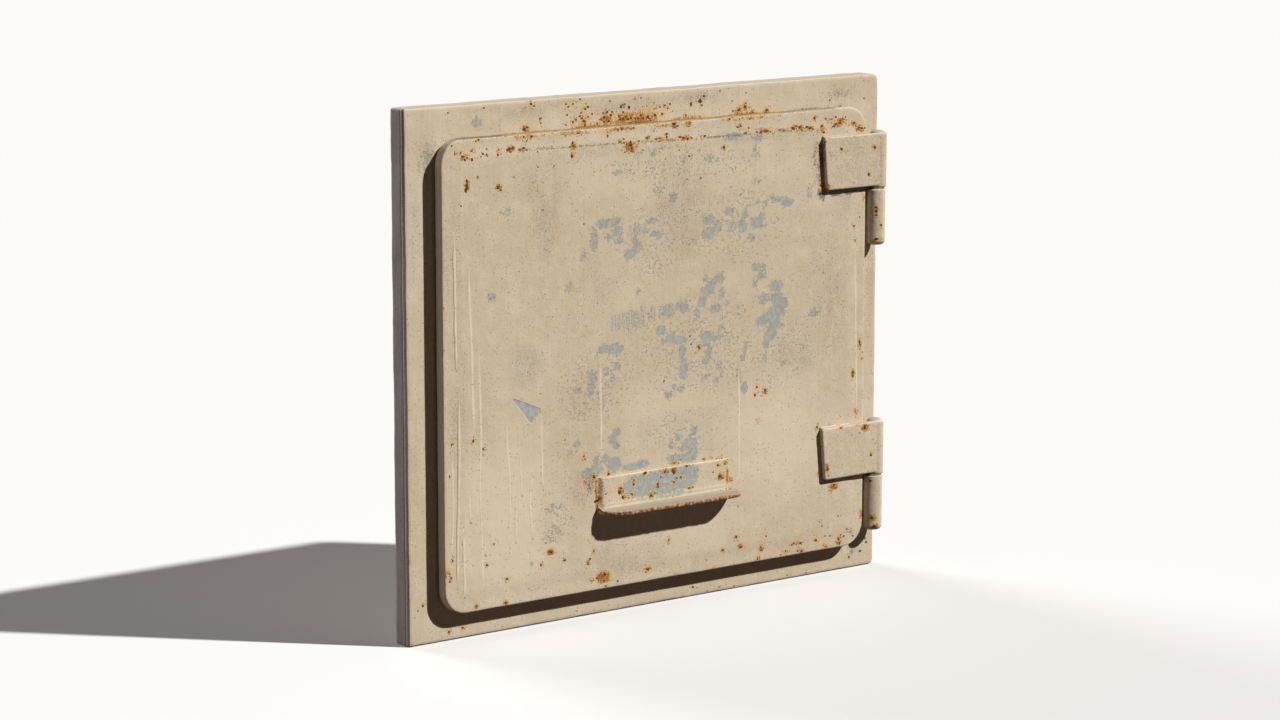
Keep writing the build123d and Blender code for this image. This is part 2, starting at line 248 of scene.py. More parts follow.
RUST_ON_DOOR = [
    (530, 137, 26, 2.4, 0.8), (570, 133, 24, 3, 0.9), (620, 129, 26, 3, 0.9), (670, 125, 26, 2.4, 0.8),
    (750, 118, 40, 2, 0.8), (822, 185, 3, 4, 1.2), (823, 178, 2, 4), (820, 189, 4, 2, 0.9),
    (821, 171, 2, 3, 0.8), (840, 122, 14, 5, 0.9), (632, 146, 12, 7, 0.7), (477, 141, 4, 3, 0.8),
    (465, 157, 6, 5), (473, 151, 4, 3, 0.8), (456, 154, 3, 4, 0.6), (486, 155, 3, 3, 0.7),
    (499, 152, 3, 5, 0.8), (511, 149, 5, 4, 1.2), (529, 135, 4, 3), (506, 135, 4, 2, 0.9),
    (518, 135, 4, 2, 0.9), (467, 186, 2.6, 9, 1.2), (499, 187, 4, 6), (478, 176, 2, 4, 0.6),
    (573, 146, 4, 6, 1.1), (573, 155, 3, 4), (630, 146, 8, 6, 1.2), (632, 151, 4, 3),
    (620, 142, 5, 3, 0.8), (648, 138, 3, 4), (620, 128, 8, 3), (579, 131, 6, 3), (634, 128, 4, 2, 0.8),
    (608, 136, 2, 3, 0.7), (660, 140, 7, 3, 0.9), (667, 136, 3, 4, 0.8), (675, 125, 5, 4, 1.1),
    (689, 123, 4, 4, 1.1), (685, 138, 8, 3, 1.1), (689, 156, 2, 2, 0.7), (724, 147, 3, 3, 0.9),
    (726, 119, 10, 2, 0.8), (740, 127, 4, 3, 0.9), (749, 128, 3, 2, 0.7), (765, 131, 8, 3, 1.1),
    (794, 128, 4, 4, 1.1), (801, 128, 4, 4, 1.1), (810, 128, 5, 3, 1.2), (815, 118, 3, 4, 0.9),
    (823, 129, 4, 6), (836, 125, 6, 4, 1.1), (842, 120, 6, 4, 1.1), (826, 119, 3, 2, 0.7),
    (854, 123, 5, 3), (861, 128, 7, 4, 1.1), (854, 225, 3, 5, 0.8), (856, 240, 2, 3, 0.7),
    (864, 197, 3, 4, 0.8), (860, 343, 3, 6), (863, 356, 2, 6, 0.8), (853, 373, 2.4, 6, 1.1),
    (855, 297, 2, 2, 0.7), (856, 412, 3, 6, 0.9), (864, 395, 2, 5, 0.6), (699, 347, 2, 4, 0.8),
    (757, 387, 2.5, 3, 0.8), (765, 391, 3, 5, 0.9), (755, 395, 2, 3, 0.8), (758, 421, 2.5, 5, 0.7),
    (825, 547, 5, 4), (839, 541, 3, 6, 1.1), (816, 540, 4, 3, 0.9), (798, 543, 6, 3, 0.9),
    (801, 551, 6, 4, 0.9), (762, 548, 5, 4, 0.9), (741, 546, 4, 4, 0.9), (723, 550, 3, 3, 0.8),
    (736, 537, 3, 3, 0.8), (766, 532, 2, 6, 0.7), (758, 559, 4, 4, 0.8), (851, 532, 4, 5, 0.7),
    (861, 515, 2, 8, 0.9), (787, 552, 6, 4, 0.7), (820, 521, 3, 3, 0.5), (843, 536, 3, 3, 0.7),
    (669, 540, 3, 5, 0.8), (648, 569, 5, 4), (675, 574, 3, 3, 0.6), (589, 562, 3, 6, 0.8),
    (604, 577, 9, 8, 1.3), (593, 580, 5, 3, 0.8), (551, 552, 5, 4, 1.1), (594, 551, 2, 3, 0.8),
    (565, 560, 3, 3, 0.8), (542, 565, 2.5, 3, 0.8), (507, 579, 3, 3, 0.9), (487, 565, 3, 3, 0.9),
    (494, 544, 3, 2, 0.8), (506, 603, 4, 3, 1.1), (477, 606, 4, 3), (447, 573, 4, 5),
    (451, 580, 3, 5, 0.9), (453, 560, 2, 4, 0.7), (452, 445, 2, 3, 0.8), (473, 441, 2, 5, 0.7),
    (483, 449, 3, 3, 0.7), (450, 477, 2, 3, 0.7), (443, 309, 2, 4, 0.9), (443, 351, 2, 3, 0.8),
    (443, 374, 2, 3, 0.8), (443, 424, 2, 3, 0.8), (443, 487, 2, 6), (584, 457, 2, 6, 0.8),
    (594, 477, 4, 4), (609, 474, 4, 3, 0.9), (585, 482, 3, 8, 0.8), (596, 490, 4, 9, 0.9),
    (834, 486, 6, 4, 1.2), (832, 490, 5, 4, 0.8), (817, 428, 3, 5, 0.8), (818, 474, 3, 6, 0.7),
    (714, 568, 4, 2, 0.7), (674, 463, 8, 2.4, 0.9), (704, 459, 4, 2, 0.7), (720, 458, 8, 2, 0.8),
    (730, 480, 3, 4, 0.9),
]
RUST_ON_HINGES = [
    (826, 187, 5, 5, 1.4), (822, 178, 3, 8, 0.8), (842, 149, 2, 3, 0.8), (853, 136, 3, 2, 0.8),
    (875, 147, 3, 4, 0.9), (869, 174, 2, 3, 0.8), (877, 210, 3, 6), (881, 225, 2, 3, 0.8),
    (877, 240, 3, 3, 0.8), (841, 426, 6, 3), (865, 427, 5, 5, 1.2), (859, 424, 4, 2, 0.9),
    (871, 454, 2, 4, 0.9), (827, 468, 2, 6, 1.1), (873, 518, 4, 5, 1.1), (875, 526, 4, 4, 1.2),
    (871, 481, 4, 4, 0.9), (850, 188, 16, 1.4, 0.6), (864, 473, 8, 2, 0.7), (829, 138, 6, 2, 0.6),
]
RUST_ON_HANDLE = [
    (596, 486, 4, 5, 0.9), (600, 498, 4, 3, 1.2), (621, 490, 4, 6), (625, 497, 6, 3, 0.8),
    (645, 472, 4, 3, 0.8), (651, 495, 4, 4), (658, 485, 2, 4, 0.9), (634, 483, 2, 5, 0.8),
    (632, 494, 2, 2, 0.8), (666, 470, 5, 4, 0.9), (674, 470, 3, 5, 1.2), (687, 465, 4, 2, 0.9),
    (681, 477, 2, 3, 0.8), (675, 482, 2, 2, 0.8), (690, 488, 5, 2, 0.8), (721, 476, 4, 5, 1.2),
    (719, 465, 3, 3, 0.8), (726, 462, 3, 3, 0.9), (728, 476, 2, 12, 1.2), (725, 491, 8, 4, 0.7),
]

# Small scabs of rust: pixel column, row, half width, half height
SCABS_ON_FRAME = [
    (580, 99, 1.2, 0.8), (566, 104, 1, 1), (573, 104, 1, 1), (568, 107, 0.8, 1), (567, 115, 1, 1),
    (585, 109, 1.5, 1), (588, 107, 1.2, 1.2), (581, 113, 1, 1), (580, 116, 1.3, 1), (582, 118, 1, 1.3),
    (584, 121, 1.3, 1.5), (585, 125, 1, 1.3), (576, 120, 1, 1), (573, 122, 1, 1.2), (592, 114, 1, 1.2),
    (588, 117, 1, 1), (566, 125, 0.8, 1), (603, 113, 1, 1), (604, 117, 1.3, 1.2), (601, 119, 0.8, 1.5),
    (607, 112, 1.4, 1.3), (611, 115, 1.3, 1.5), (612, 112, 0.9, 1.5), (609, 121, 1.2, 1.2),
    (604, 122, 1, 1), (597, 123, 0.9, 0.9), (621, 107, 1.3, 1.5), (623, 105, 1.5, 0.8), (625, 104, 1, 1),
    (624, 107, 0.8, 0.8), (629, 107, 1.2, 2), (623, 112, 1.2, 1.2), (619, 116, 0.9, 2),
    (620, 119, 1, 1.2), (623, 119, 1.2, 1.2), (626, 116, 0.9, 1), (628, 119, 1.2, 1.3),
    (631, 118, 1, 1.4), (635, 118, 1, 1), (638, 118, 1.2, 1), (641, 115, 0.9, 1.5), (643, 118, 1.1, 1.1),
    (648, 117, 1.1, 2), (610, 101, 1.1, 0.7), (635, 99, 0.8, 0.8), (641, 98, 0.9, 0.9),
    (654, 109, 0.7, 0.7), (656, 108, 0.7, 0.7), (660, 107, 0.9, 0.9), (664, 107, 0.9, 0.9),
    (665, 105, 1, 0.9), (670, 104, 1.1, 1.1), (668, 108, 0.8, 1.1), (655, 115, 1.3, 1.8),
    (662, 114, 1.1, 1.4), (691, 104, 1.2, 2.2), (700, 101, 1.8, 2.1), (702, 105, 1, 0.9),
    (704, 96, 1.6, 1.1), (732, 101, 0.7, 0.8), (733, 111, 1, 1), (739, 110, 1.3, 1.6),
    (745, 107, 1.2, 1.4), (746, 103, 0.8, 0.9), (753, 112, 0.9, 0.7), (767, 110, 1.5, 1.1),
    (746, 93, 1, 0.8), (720, 91, 0.9, 0.7), (864, 98, 0.8, 0.7), (830, 100, 0.9, 0.9),
    (840, 106, 1.1, 0.8), (524, 129, 1.7, 1.4), (527, 127, 1.4, 1), (525, 131, 0.9, 0.9),
    (484, 108, 1, 0.9), (448, 113, 1, 0.9), (531, 104, 1.4, 1.1), (534, 106, 1, 0.9),
    (540, 119, 0.9, 1.4), (541, 123, 0.8, 1), (449, 632, 1, 1.6), (463, 628, 1.1, 1.1),
    (577, 611, 0.8, 0.7), (693, 587, 1.2, 1), (707, 591, 0.9, 0.8), (719, 587, 0.8, 0.8),
    (734, 586, 0.9, 0.6), (849, 557, 0.9, 1.2), (860, 551, 1.4, 1), (865, 538, 0.9, 1.4),
    (866, 542, 1.1, 0.9), (423, 606, 1, 1.6), (409, 562, 0.8, 2), (408, 535, 0.7, 1), (418, 611, 0.8, 1),
    (806, 573, 0.7, 0.6), (787, 575, 0.7, 0.6), (686, 115, 0.9, 0.9),
]
SCABS_ON_DOOR = [
    (452, 146, 1, 1), (476, 141, 0.8, 1), (479, 140, 1.2, 1.1), (455, 154, 0.7, 1.4), (461, 153, 1, 1),
    (463, 157, 1.4, 1.2), (465, 160, 1.1, 1.3), (467, 158, 1.1, 1.1), (472, 160, 1.2, 1.8),
    (472, 151, 1.2, 1), (483, 154, 1.4, 1.2), (481, 157, 0.8, 0.8), (487, 149, 1, 0.7),
    (487, 155, 0.8, 1.4), (499, 150, 0.9, 0.9), (498, 155, 1, 1.3), (508, 150, 1.5, 1.4),
    (510, 149, 1.8, 1.6), (513, 148, 1.2, 1.6), (511, 152, 1.3, 0.8), (467, 181, 1.2, 1.7),
    (467, 185, 1.3, 2.2), (466, 190, 1.5, 2), (467, 188, 1.4, 2), (478, 177, 0.8, 1.2),
    (498, 187, 1.5, 1.6), (501, 190, 0.9, 1.1), (461, 206, 0.9, 0.9), (514, 177, 0.9, 0.8),
    (538, 152, 0.9, 0.8), (538, 167, 1, 0.8), (554, 166, 0.8, 0.6), (543, 210, 0.8, 0.8),
    (506, 135, 1.6, 1), (509, 136, 0.8, 0.8), (518, 135, 1.4, 1), (524, 137, 0.7, 1.4),
    (529, 135, 1.9, 1.5), (532, 136, 1.1, 0.9), (527, 141, 1, 0.8), (546, 133, 1.5, 0.7),
    (540, 133, 1.8, 0.7), (536, 134, 1.1, 0.7), (573, 143, 1.3, 1.4), (574, 146, 1.4, 1.1),
    (570, 147, 1, 0.8), (572, 156, 1.1, 1.7), (524, 148, 1.5, 0.9), (520, 150, 1, 1),
    (527, 150, 1.2, 0.8), (577, 131, 1.4, 1.1), (579, 133, 1.2, 1), (575, 130, 0.9, 0.8),
    (583, 130, 0.9, 0.7), (590, 130, 1.2, 0.7), (595, 129, 1, 0.7), (582, 135, 0.7, 0.7),
    (568, 132, 0.9, 1), (607, 128, 0.8, 0.8), (617, 128, 1.2, 0.9), (620, 128, 1.1, 0.9),
    (618, 130, 1.1, 0.7), (622, 129, 1.3, 1), (624, 127, 0.9, 0.8), (631, 129, 1.2, 0.6),
    (634, 128, 1, 0.9), (608, 136, 0.8, 1.5), (624, 139, 1.2, 0.9), (620, 142, 1.1, 0.9),
    (624, 143, 0.9, 1), (627, 144, 0.9, 0.9), (631, 142, 0.9, 1.2), (631, 145, 1.7, 1.8),
    (632, 148, 1.1, 1.2), (634, 143, 0.8, 0.8), (639, 141, 1, 1), (632, 151, 1.5, 0.9),
    (625, 152, 0.7, 1), (643, 150, 0.9, 0.8), (647, 138, 1.4, 1.2), (656, 139, 1.5, 0.8),
    (660, 138, 1.5, 0.9), (660, 141, 1, 0.8), (667, 134, 1.1, 1.4), (667, 137, 1.1, 1.3),
    (654, 131, 0.9, 0.6), (674, 124, 1.7, 1.5), (675, 127, 1, 0.9), (678, 126, 1.1, 0.9),
    (689, 122, 1.7, 1.5), (680, 137, 1.9, 1.1), (684, 138, 1.9, 0.9), (688, 139, 1.2, 1.7),
    (692, 138, 1.1, 0.9), (705, 136, 1.2, 1.3), (701, 136, 0.7, 0.8), (689, 156, 0.9, 1),
    (679, 150, 0.7, 0.7), (714, 119, 0.9, 0.7), (724, 119, 0.9, 1), (730, 119, 1.2, 0.9),
    (743, 118, 0.9, 0.7), (750, 119, 1, 1), (738, 127, 1.1, 1.2), (741, 126, 1.1, 1.1),
    (749, 128, 1, 0.8), (746, 133, 1.5, 0.7), (757, 132, 1.5, 0.8), (761, 132, 1.5, 0.8),
    (765, 131, 1.9, 0.9), (768, 131, 1.1, 1.1), (780, 130, 2, 0.8), (784, 131, 1.8, 0.7),
    (789, 131, 0.9, 0.6), (793, 128, 1.4, 1.6), (796, 126, 1.1, 0.9), (800, 127, 1.4, 1.4),
    (802, 130, 0.9, 0.9), (807, 127, 1.4, 1.1), (810, 128, 1.7, 1.2), (813, 129, 1.1, 0.9),
    (815, 118, 1, 1.5), (826, 119, 0.9, 0.8), (832, 119, 1.2, 0.9), (836, 117, 1.1, 1.1),
    (822, 126, 1.2, 1.4), (824, 132, 1.1, 1.1), (834, 126, 1.1, 1.1), (836, 124, 1.4, 1.1),
    (840, 123, 1.4, 1.1), (841, 121, 1.2, 0.9), (843, 119, 1.1, 0.9), (846, 117, 0.9, 0.7),
    (854, 123, 1.4, 1.1), (856, 126, 0.9, 0.9), (859, 128, 1.4, 1), (862, 128, 1.3, 1),
    (865, 128, 1, 0.9), (857, 129, 0.8, 0.8), (724, 147, 1.1, 1.4), (854, 226, 1.2, 1.1),
    (855, 240, 0.8, 0.8), (860, 217, 0.7, 0.8), (860, 342, 0.9, 1.5), (853, 372, 1.1, 2),
    (853, 376, 0.9, 1.4), (863, 356, 0.7, 1.8), (699, 347, 0.9, 1.2), (690, 336, 0.8, 1.2),
    (691, 344, 0.7, 1.1), (757, 387, 0.9, 0.9), (765, 390, 1, 1.6), (765, 393, 0.8, 0.9),
    (755, 395, 1, 1.2), (761, 396, 0.6, 0.6), (664, 381, 0.7, 1.8), (736, 537, 1, 1.1),
    (741, 547, 1.2, 1), (723, 550, 1.1, 0.9), (766, 536, 0.8, 0.8), (762, 550, 1.4, 0.8),
    (761, 547, 0.9, 0.9), (758, 559, 0.9, 1), (792, 545, 1.2, 0.8), (794, 543, 1.1, 0.9),
    (801, 543, 1.2, 1), (786, 551, 0.9, 0.9), (781, 555, 0.9, 0.5), (790, 555, 1.2, 0.5),
    (798, 551, 1.1, 0.9), (802, 551, 1.1, 0.9), (816, 540, 1.3, 1.1), (825, 536, 0.9, 0.7),
    (830, 536, 1.1, 0.7), (822, 526, 0.8, 0.8), (825, 548, 1.2, 0.8), (839, 539, 0.9, 1.8),
    (840, 543, 0.9, 1.3), (841, 535, 0.7, 0.9), (844, 536, 1, 0.9), (847, 529, 0.7, 1.1),
    (850, 532, 0.9, 0.7), (853, 536, 0.8, 1.1), (838, 516, 0.8, 0.7), (707, 560, 0.8, 0.7),
    (714, 568, 0.9, 0.7), (722, 567, 1.4, 0.5), (738, 506, 0.7, 0.7), (494, 544, 1, 0.8),
    (486, 556, 0.8, 0.7), (487, 565, 1.1, 1.1), (507, 579, 1.2, 1.1), (551, 552, 1.9, 1.4),
    (565, 560, 1.1, 0.9), (541, 565, 0.9, 0.9), (594, 551, 0.9, 0.9), (590, 559, 1.2, 1.1),
    (588, 564, 1.1, 1.1), (446, 574, 1.2, 1.2), (450, 574, 0.8, 0.8), (452, 578, 0.9, 0.9),
    (450, 582, 0.9, 1), (453, 561, 0.8, 1.3), (477, 606, 1.1, 0.9), (506, 603, 1.5, 1.1),
    (592, 581, 1, 0.7), (597, 578, 1.1, 1), (605, 574, 1.5, 1.5), (604, 581, 1.2, 1),
    (606, 586, 1.1, 0.9), (618, 581, 1, 0.9), (546, 543, 0.9, 0.8), (443, 309, 0.7, 1.8),
    (443, 351, 0.7, 1.3), (443, 374, 0.7, 1.1), (443, 487, 0.8, 2.6), (452, 445, 0.8, 1.2),
    (473, 441, 0.7, 1.8), (483, 449, 1, 1), (483, 455, 0.8, 0.7), (450, 477, 0.7, 1.1),
    (584, 456, 0.6, 1.8), (585, 459, 1.1, 0.7), (565, 440, 0.6, 0.9), (594, 477, 1.4, 1.5),
    (609, 474, 1.5, 1), (834, 485, 1.3, 1.2), (836, 488, 1, 0.8), (817, 427, 0.8, 1.4),
    (648, 569, 1.6, 1.2), (669, 540, 0.9, 1.5), (674, 463, 1.3, 0.7), (703, 459, 1.1, 0.7),
    (712, 458, 0.8, 0.6), (584, 224, 0.7, 1), (741, 194, 0.7, 0.7), (701, 178, 0.8, 0.8),
    (687, 179, 0.7, 0.7), (823, 273, 0.7, 0.7), (596, 491, 0.9, 1.1),
]
SCABS_ON_HINGES = [
    (842, 149, 1, 1.4), (853, 136, 1.5, 0.8), (837, 137, 0.6, 0.7), (829, 138, 0.7, 0.6),
    (875, 147, 1.1, 1.3), (869, 174, 1, 1.3), (826, 185, 1.5, 1.2), (827, 188, 1.2, 0.9),
    (825, 188, 1, 0.9), (881, 153, 0.5, 0.7), (883, 156, 0.6, 0.6), (825, 168, 0.7, 0.9),
    (877, 207, 0.9, 1), (877, 211, 1.1, 1.3), (877, 215, 0.9, 1), (881, 225, 0.8, 0.9),
    (877, 239, 1.5, 1.2), (841, 426, 1, 0.7), (843, 426, 1, 0.7), (865, 427, 1.1, 1.8),
    (859, 424, 1.1, 0.8), (852, 435, 0.6, 0.6), (860, 433, 0.7, 0.7), (871, 455, 0.9, 1.3),
    (828, 469, 0.7, 2.2), (829, 476, 0.6, 0.7), (873, 518, 1.1, 1.3), (875, 526, 1.3, 1.4),
    (838, 416, 0.8, 0.8), (872, 481, 1.1, 1.1),
]
SCABS_ON_HANDLE = [
    (597, 485, 1.1, 1.1), (596, 491, 1, 1.1), (600, 498, 2, 1.1), (606, 494, 0.8, 1.1),
    (645, 473, 1.8, 1.3), (665, 472, 1.2, 1.1), (668, 472, 0.8, 0.9), (674, 472, 1.4, 1.9),
    (673, 470, 1.2, 1), (687, 466, 1.1, 0.9), (681, 477, 0.8, 1.2), (677, 478, 0.8, 0.8),
    (674, 482, 0.9, 0.8), (658, 484, 1, 1.4), (658, 487, 0.9, 0.9), (634, 484, 0.9, 1.1),
    (634, 480, 0.7, 0.9), (661, 477, 0.7, 0.9), (632, 494, 0.8, 0.8), (629, 498, 0.8, 0.7),
    (623, 497, 1.2, 1.4), (620, 492, 1.4, 1.7), (621, 488, 1.1, 0.9), (651, 496, 1.5, 1.6),
    (655, 493, 0.8, 0.5), (689, 488, 1, 0.9), (693, 487, 0.7, 0.9), (720, 476, 1.4, 1.4),
    (723, 478, 0.9, 0.9), (718, 465, 0.9, 0.9), (725, 464, 0.8, 0.7), (713, 472, 0.7, 0.8),
]
BLUE_ON_DOOR = [
    (558, 520, 24, 30, 0.16), (650, 165, 60, 16, 0.24), (617, 173, 7, 3), (640, 156, 5, 5, 0.5),
    (654, 152, 6, 5, 0.8), (666, 149, 15, 4, 0.4), (684, 161, 5, 3, 0.6), (709, 158, 5, 7, 0.8),
    (716, 160, 3, 4, 0.7), (658, 187, 9, 11, 0.35), (673, 198, 5, 6), (594, 240, 5, 14, 1.1),
    (603, 224, 9, 6, 1.1), (614, 222, 10, 5, 1.1), (617, 231, 7, 6), (609, 237, 5, 5),
    (619, 241, 5, 4, 0.9), (584, 257, 5, 5, 0.8), (637, 229, 6, 6, 1.1), (635, 239, 4, 8, 0.9),
    (637, 247, 6, 7, 1.2), (630, 254, 8, 6), (652, 221, 7, 4), (656, 234, 7, 5), (645, 232, 7, 3, 0.7),
    (646, 226, 4, 4, 0.7), (709, 234, 8, 7, 1.6), (709, 220, 7, 6, 1.3), (718, 226, 5, 8, 1.1),
    (692, 242, 6, 5, 0.6), (729, 212, 7, 5), (731, 227, 7, 11, 0.5), (733, 224, 3, 4, 0.9),
    (742, 226, 5, 8, 1.6), (745, 213, 2.5, 8, 1.2), (757, 223, 7, 7, 1.5), (762, 217, 4, 4, 1.1),
    (765, 226, 4, 2, 0.8), (751, 238, 5, 5, 1.2), (787, 202, 7, 5, 1.5), (778, 200, 9, 3),
    (772, 197, 4, 4), (757, 202, 3, 4, 0.8), (765, 204, 3, 4, 0.8), (809, 193, 4, 9, 0.7),
    (757, 182, 6, 4, 0.7), (754, 268, 4, 5, 0.9), (761, 268, 6, 6), (762, 276, 6, 4, 0.9),
    (755, 283, 3, 6, 0.9), (719, 278, 6, 7, 1.1), (712, 284, 5, 7, 1.1), (706, 278, 4, 6, 0.8),
    (708, 291, 8, 7, 1.2), (702, 301, 5, 7, 1.1), (697, 313, 3, 7), (722, 293, 4, 7, 0.9),
    (727, 303, 4, 3, 0.8), (715, 309, 8, 5, 1.3), (638, 292, 3.5, 3.5), (633, 318, 6, 8, 0.6),
    (641, 323, 5, 5, 0.7), (668, 311, 10, 9), (684, 308, 6, 8, 1.1), (677, 306, 6, 5, 0.8),
    (661, 330, 6, 5, 1.3), (671, 338, 5, 8, 1.1), (681, 340, 8, 6, 1.3), (682, 352, 4, 10, 1.3),
    (684, 366, 5, 10, 1.4), (683, 375, 5, 6, 1.2), (664, 342, 4, 4, 0.8), (706, 336, 7, 5, 1.4),
    (712, 338, 6, 4, 1.2), (721, 327, 5, 7, 0.8), (718, 338, 5, 4, 0.9), (705, 344, 4, 5, 0.9),
    (709, 351, 4, 7), (706, 361, 6, 5), (706, 377, 4, 4), (719, 366, 4, 6, 0.8), (716, 380, 5, 4),
    (721, 374, 3, 6, 0.8), (681, 389, 5, 4), (674, 388, 3, 4, 0.8), (668, 395, 5, 4, 1.2),
    (744, 388, 4, 6, 1.4), (745, 346, 4, 10, 0.6), (743, 358, 3, 5, 0.8), (740, 312, 8, 12, 0.4),
    (776, 286, 8, 6, 1.6), (776, 298, 8, 7, 1.4), (763, 299, 7, 6, 1.1), (782, 303, 7, 7, 1.3),
    (778, 310, 9, 9, 1.6), (771, 317, 10, 8, 1.6), (762, 321, 7, 6, 1.4), (775, 325, 8, 6, 1.5),
    (771, 334, 6, 8, 1.4), (766, 341, 4, 9, 1.2), (765, 358, 3, 7, 0.7), (782, 364, 4, 4, 0.7),
    (604, 349, 7, 5, 1.4), (616, 349, 9, 6, 1.5), (617, 366, 5, 5, 0.9), (606, 371, 3, 7, 0.7),
    (613, 380, 4, 4, 0.7), (590, 375, 5, 5, 0.9), (595, 376, 3, 7, 0.9), (593, 382, 5, 4),
    (591, 390, 5, 7, 1.2), (577, 391, 6, 5, 0.7), (616, 432, 5, 6, 1.1), (612, 440, 5, 6, 1.1),
    (616, 446, 5, 5, 1.1), (577, 444, 4, 4), (570, 453, 7, 6, 0.5), (678, 437, 4, 5, 1.1),
    (671, 445, 3, 5, 0.9), (690, 443, 8, 6, 1.5), (683, 448, 6, 4, 1.2), (694, 431, 4, 4, 1.1),
    (693, 452, 5, 8, 1.5), (688, 457, 10, 6, 1.6), (675, 458, 10, 4, 1.5), (596, 464, 4, 12, 1.2),
    (592, 472, 12, 5, 1.4), (605, 459, 5, 5, 1.2), (614, 464, 8, 9, 1.6), (632, 467, 12, 4, 1.3),
    (642, 464, 8, 4, 1.4), (553, 509, 16, 7, 0.5), (553, 534, 14, 12, 0.5), (570, 287, 6, 8, 0.6),
    (491, 297, 6, 5, 0.9), (506, 212, 8, 6, 0.4), (733, 137, 12, 5, 0.9), (758, 138, 8, 3, 1.1),
    (755, 152, 4, 12, 0.6), (532, 564, 3, 4, 0.5), (814, 313, 7, 6, 0.6), (588, 480, 6, 10, 0.9),
    (655, 240, 50, 46, 0.20), (740, 225, 62, 52, 0.20), (700, 345, 74, 62, 0.24),
    (776, 350, 40, 50, 0.20), (598, 385, 50, 46, 0.22), (640, 320, 30, 16, 0.30),
    (690, 165, 80, 26, 0.22), (680, 430, 50, 30, 0.16),
]
BLUE_ON_FRAME = [(477, 123, 6, 6, 1.4), (425, 160, 10, 20, 0.45), (700, 97, 14, 4, 0.4)]
BLUE_ON_HANDLE = [
    (642, 486, 23, 13, 1.8), (662, 482, 26, 15, 1.8), (684, 476, 16, 15, 1.8), (665, 494, 36, 5, 0.7),
]
VEIL_ON_DOOR = [
    (560, 490, 34, 70, 0.22), (625, 565, 44, 26, 0.25), (546, 218, 15, 52), (543, 182, 30, 30, 0.6),
    (683, 205, 30, 66, 0.7), (827, 292, 22, 70, 0.8), (800, 342, 30, 42, 0.4), (526, 366, 22, 26, 0.6),
    (452, 252, 14, 56, 0.4), (739, 376, 3, 18), (580, 488, 20, 22, 0.8), (614, 560, 34, 22, 0.7),
    (484, 420, 30, 40, 0.2), (598, 290, 34, 40, 0.3), (575, 402, 34, 24, 0.4), (655, 545, 18, 20, 0.5),
    (845, 205, 14, 26, 0.5), (456, 430, 12, 46, 0.4), (600, 150, 120, 9, 0.4), (760, 135, 70, 9, 0.5),
    (800, 540, 36, 16, 0.2), (813, 257, 6, 10, 0.8),
]
VEIL_ON_FRAME = [
    (840, 96, 24, 16, 0.8), (700, 97, 30, 10, 0.8), (620, 108, 60, 8, 0.5), (524, 112, 24, 9, 0.9),
    (426, 154, 12, 22, 0.8), (806, 112, 24, 5, 1.2), (414, 236, 8, 60, 0.5), (414, 480, 8, 80, 0.3),
    (868, 290, 6, 60, 0.6), (560, 100, 40, 6, 0.4), (640, 603, 120, 6, 0.3), (790, 580, 60, 6, 0.3),
]
PALE_ON_DOOR = [
    (508, 515, 70, 100), (650, 172, 130, 26, 0.5), (775, 440, 60, 80, 0.9), (640, 178, 26, 34, 0.4),
    (690, 530, 80, 30, 0.6), (625, 300, 26, 20, 0.4), (500, 150, 40, 12, 0.5), (620, 136, 90, 5, 0.5),
    (800, 420, 40, 34, 0.7), (770, 170, 50, 30, 0.3), (660, 400, 60, 26, 0.5),
]
# Dirt on the door; the four marks under the upper hinge leaf and the two under the lower one are painted
# shadow over brown dirt
GRIME_AND_SHADOW_ON_DOOR = [
    (822, 193, 6, 6, 2.0), (836, 192, 9, 5.5, 2.2), (850, 190, 10, 5.5, 2.2), (863, 188, 7, 5, 2.0),
    (830, 480, 10, 4, 1.2), (850, 477, 12, 3, 1.2), (541, 190, 12, 22, 0.4), (576, 162, 14, 4, 0.5),
    (522, 150, 7, 3, 1.3), (543, 148, 16, 1.6), (700, 141, 12, 2, 0.6), (762, 129, 8, 2),
    (784, 130, 7, 2.4, 1.2), (745, 132, 6, 2, 0.7), (686, 213, 14, 30, 0.3), (821, 166, 5, 34, 1.2),
    (816, 160, 6, 42, 0.7), (592, 488, 8, 14, 0.8), (606, 484, 8, 9, 0.8), (526, 364, 14, 14, 0.3),
    (739, 378, 1.5, 14, 0.5), (620, 563, 14, 12, 0.4), (823, 199, 4, 4, 0.9), (818, 150, 3, 3),
    (832, 340, 16, 30, 0.3), (857, 520, 6, 10, 0.3), (829, 432, 5, 14, 0.8), (494, 298, 6, 5, 0.5),
    (582, 417, 14, 9, 0.4), (584, 500, 12, 16, 0.4),
]
GRIME_ON_FRAME = [
    (841, 93, 16, 6, 0.8), (690, 98, 26, 6, 0.45), (806, 110, 20, 2.4, 1.2), (524, 110, 12, 7, 0.6),
    (430, 157, 8, 5, 0.8), (655, 100, 60, 5, 0.4), (852, 551, 5, 6, 0.8), (862, 80, 10, 5, 0.5),
]
GRIME_ON_BARRELS = [(871, 210, 6, 28, 1.3), (878, 240, 8, 5, 0.8)]
TRIANGLE_FLAKE = [(510.6, 397.5), (541.5, 409.0), (531.0, 424.0)]
HATCHED = [(611, 316), (661, 305), (661, 320), (611, 332)]

# Ends of three lines along the door's top, in the same pixels
TOP_LINE_ENDS = [(502, 134), (838, 108)]
RIM_DIRT_ENDS = [(450, 137), (838, 108)]
FOLD_ENDS = [(516, 151), (825, 129)]

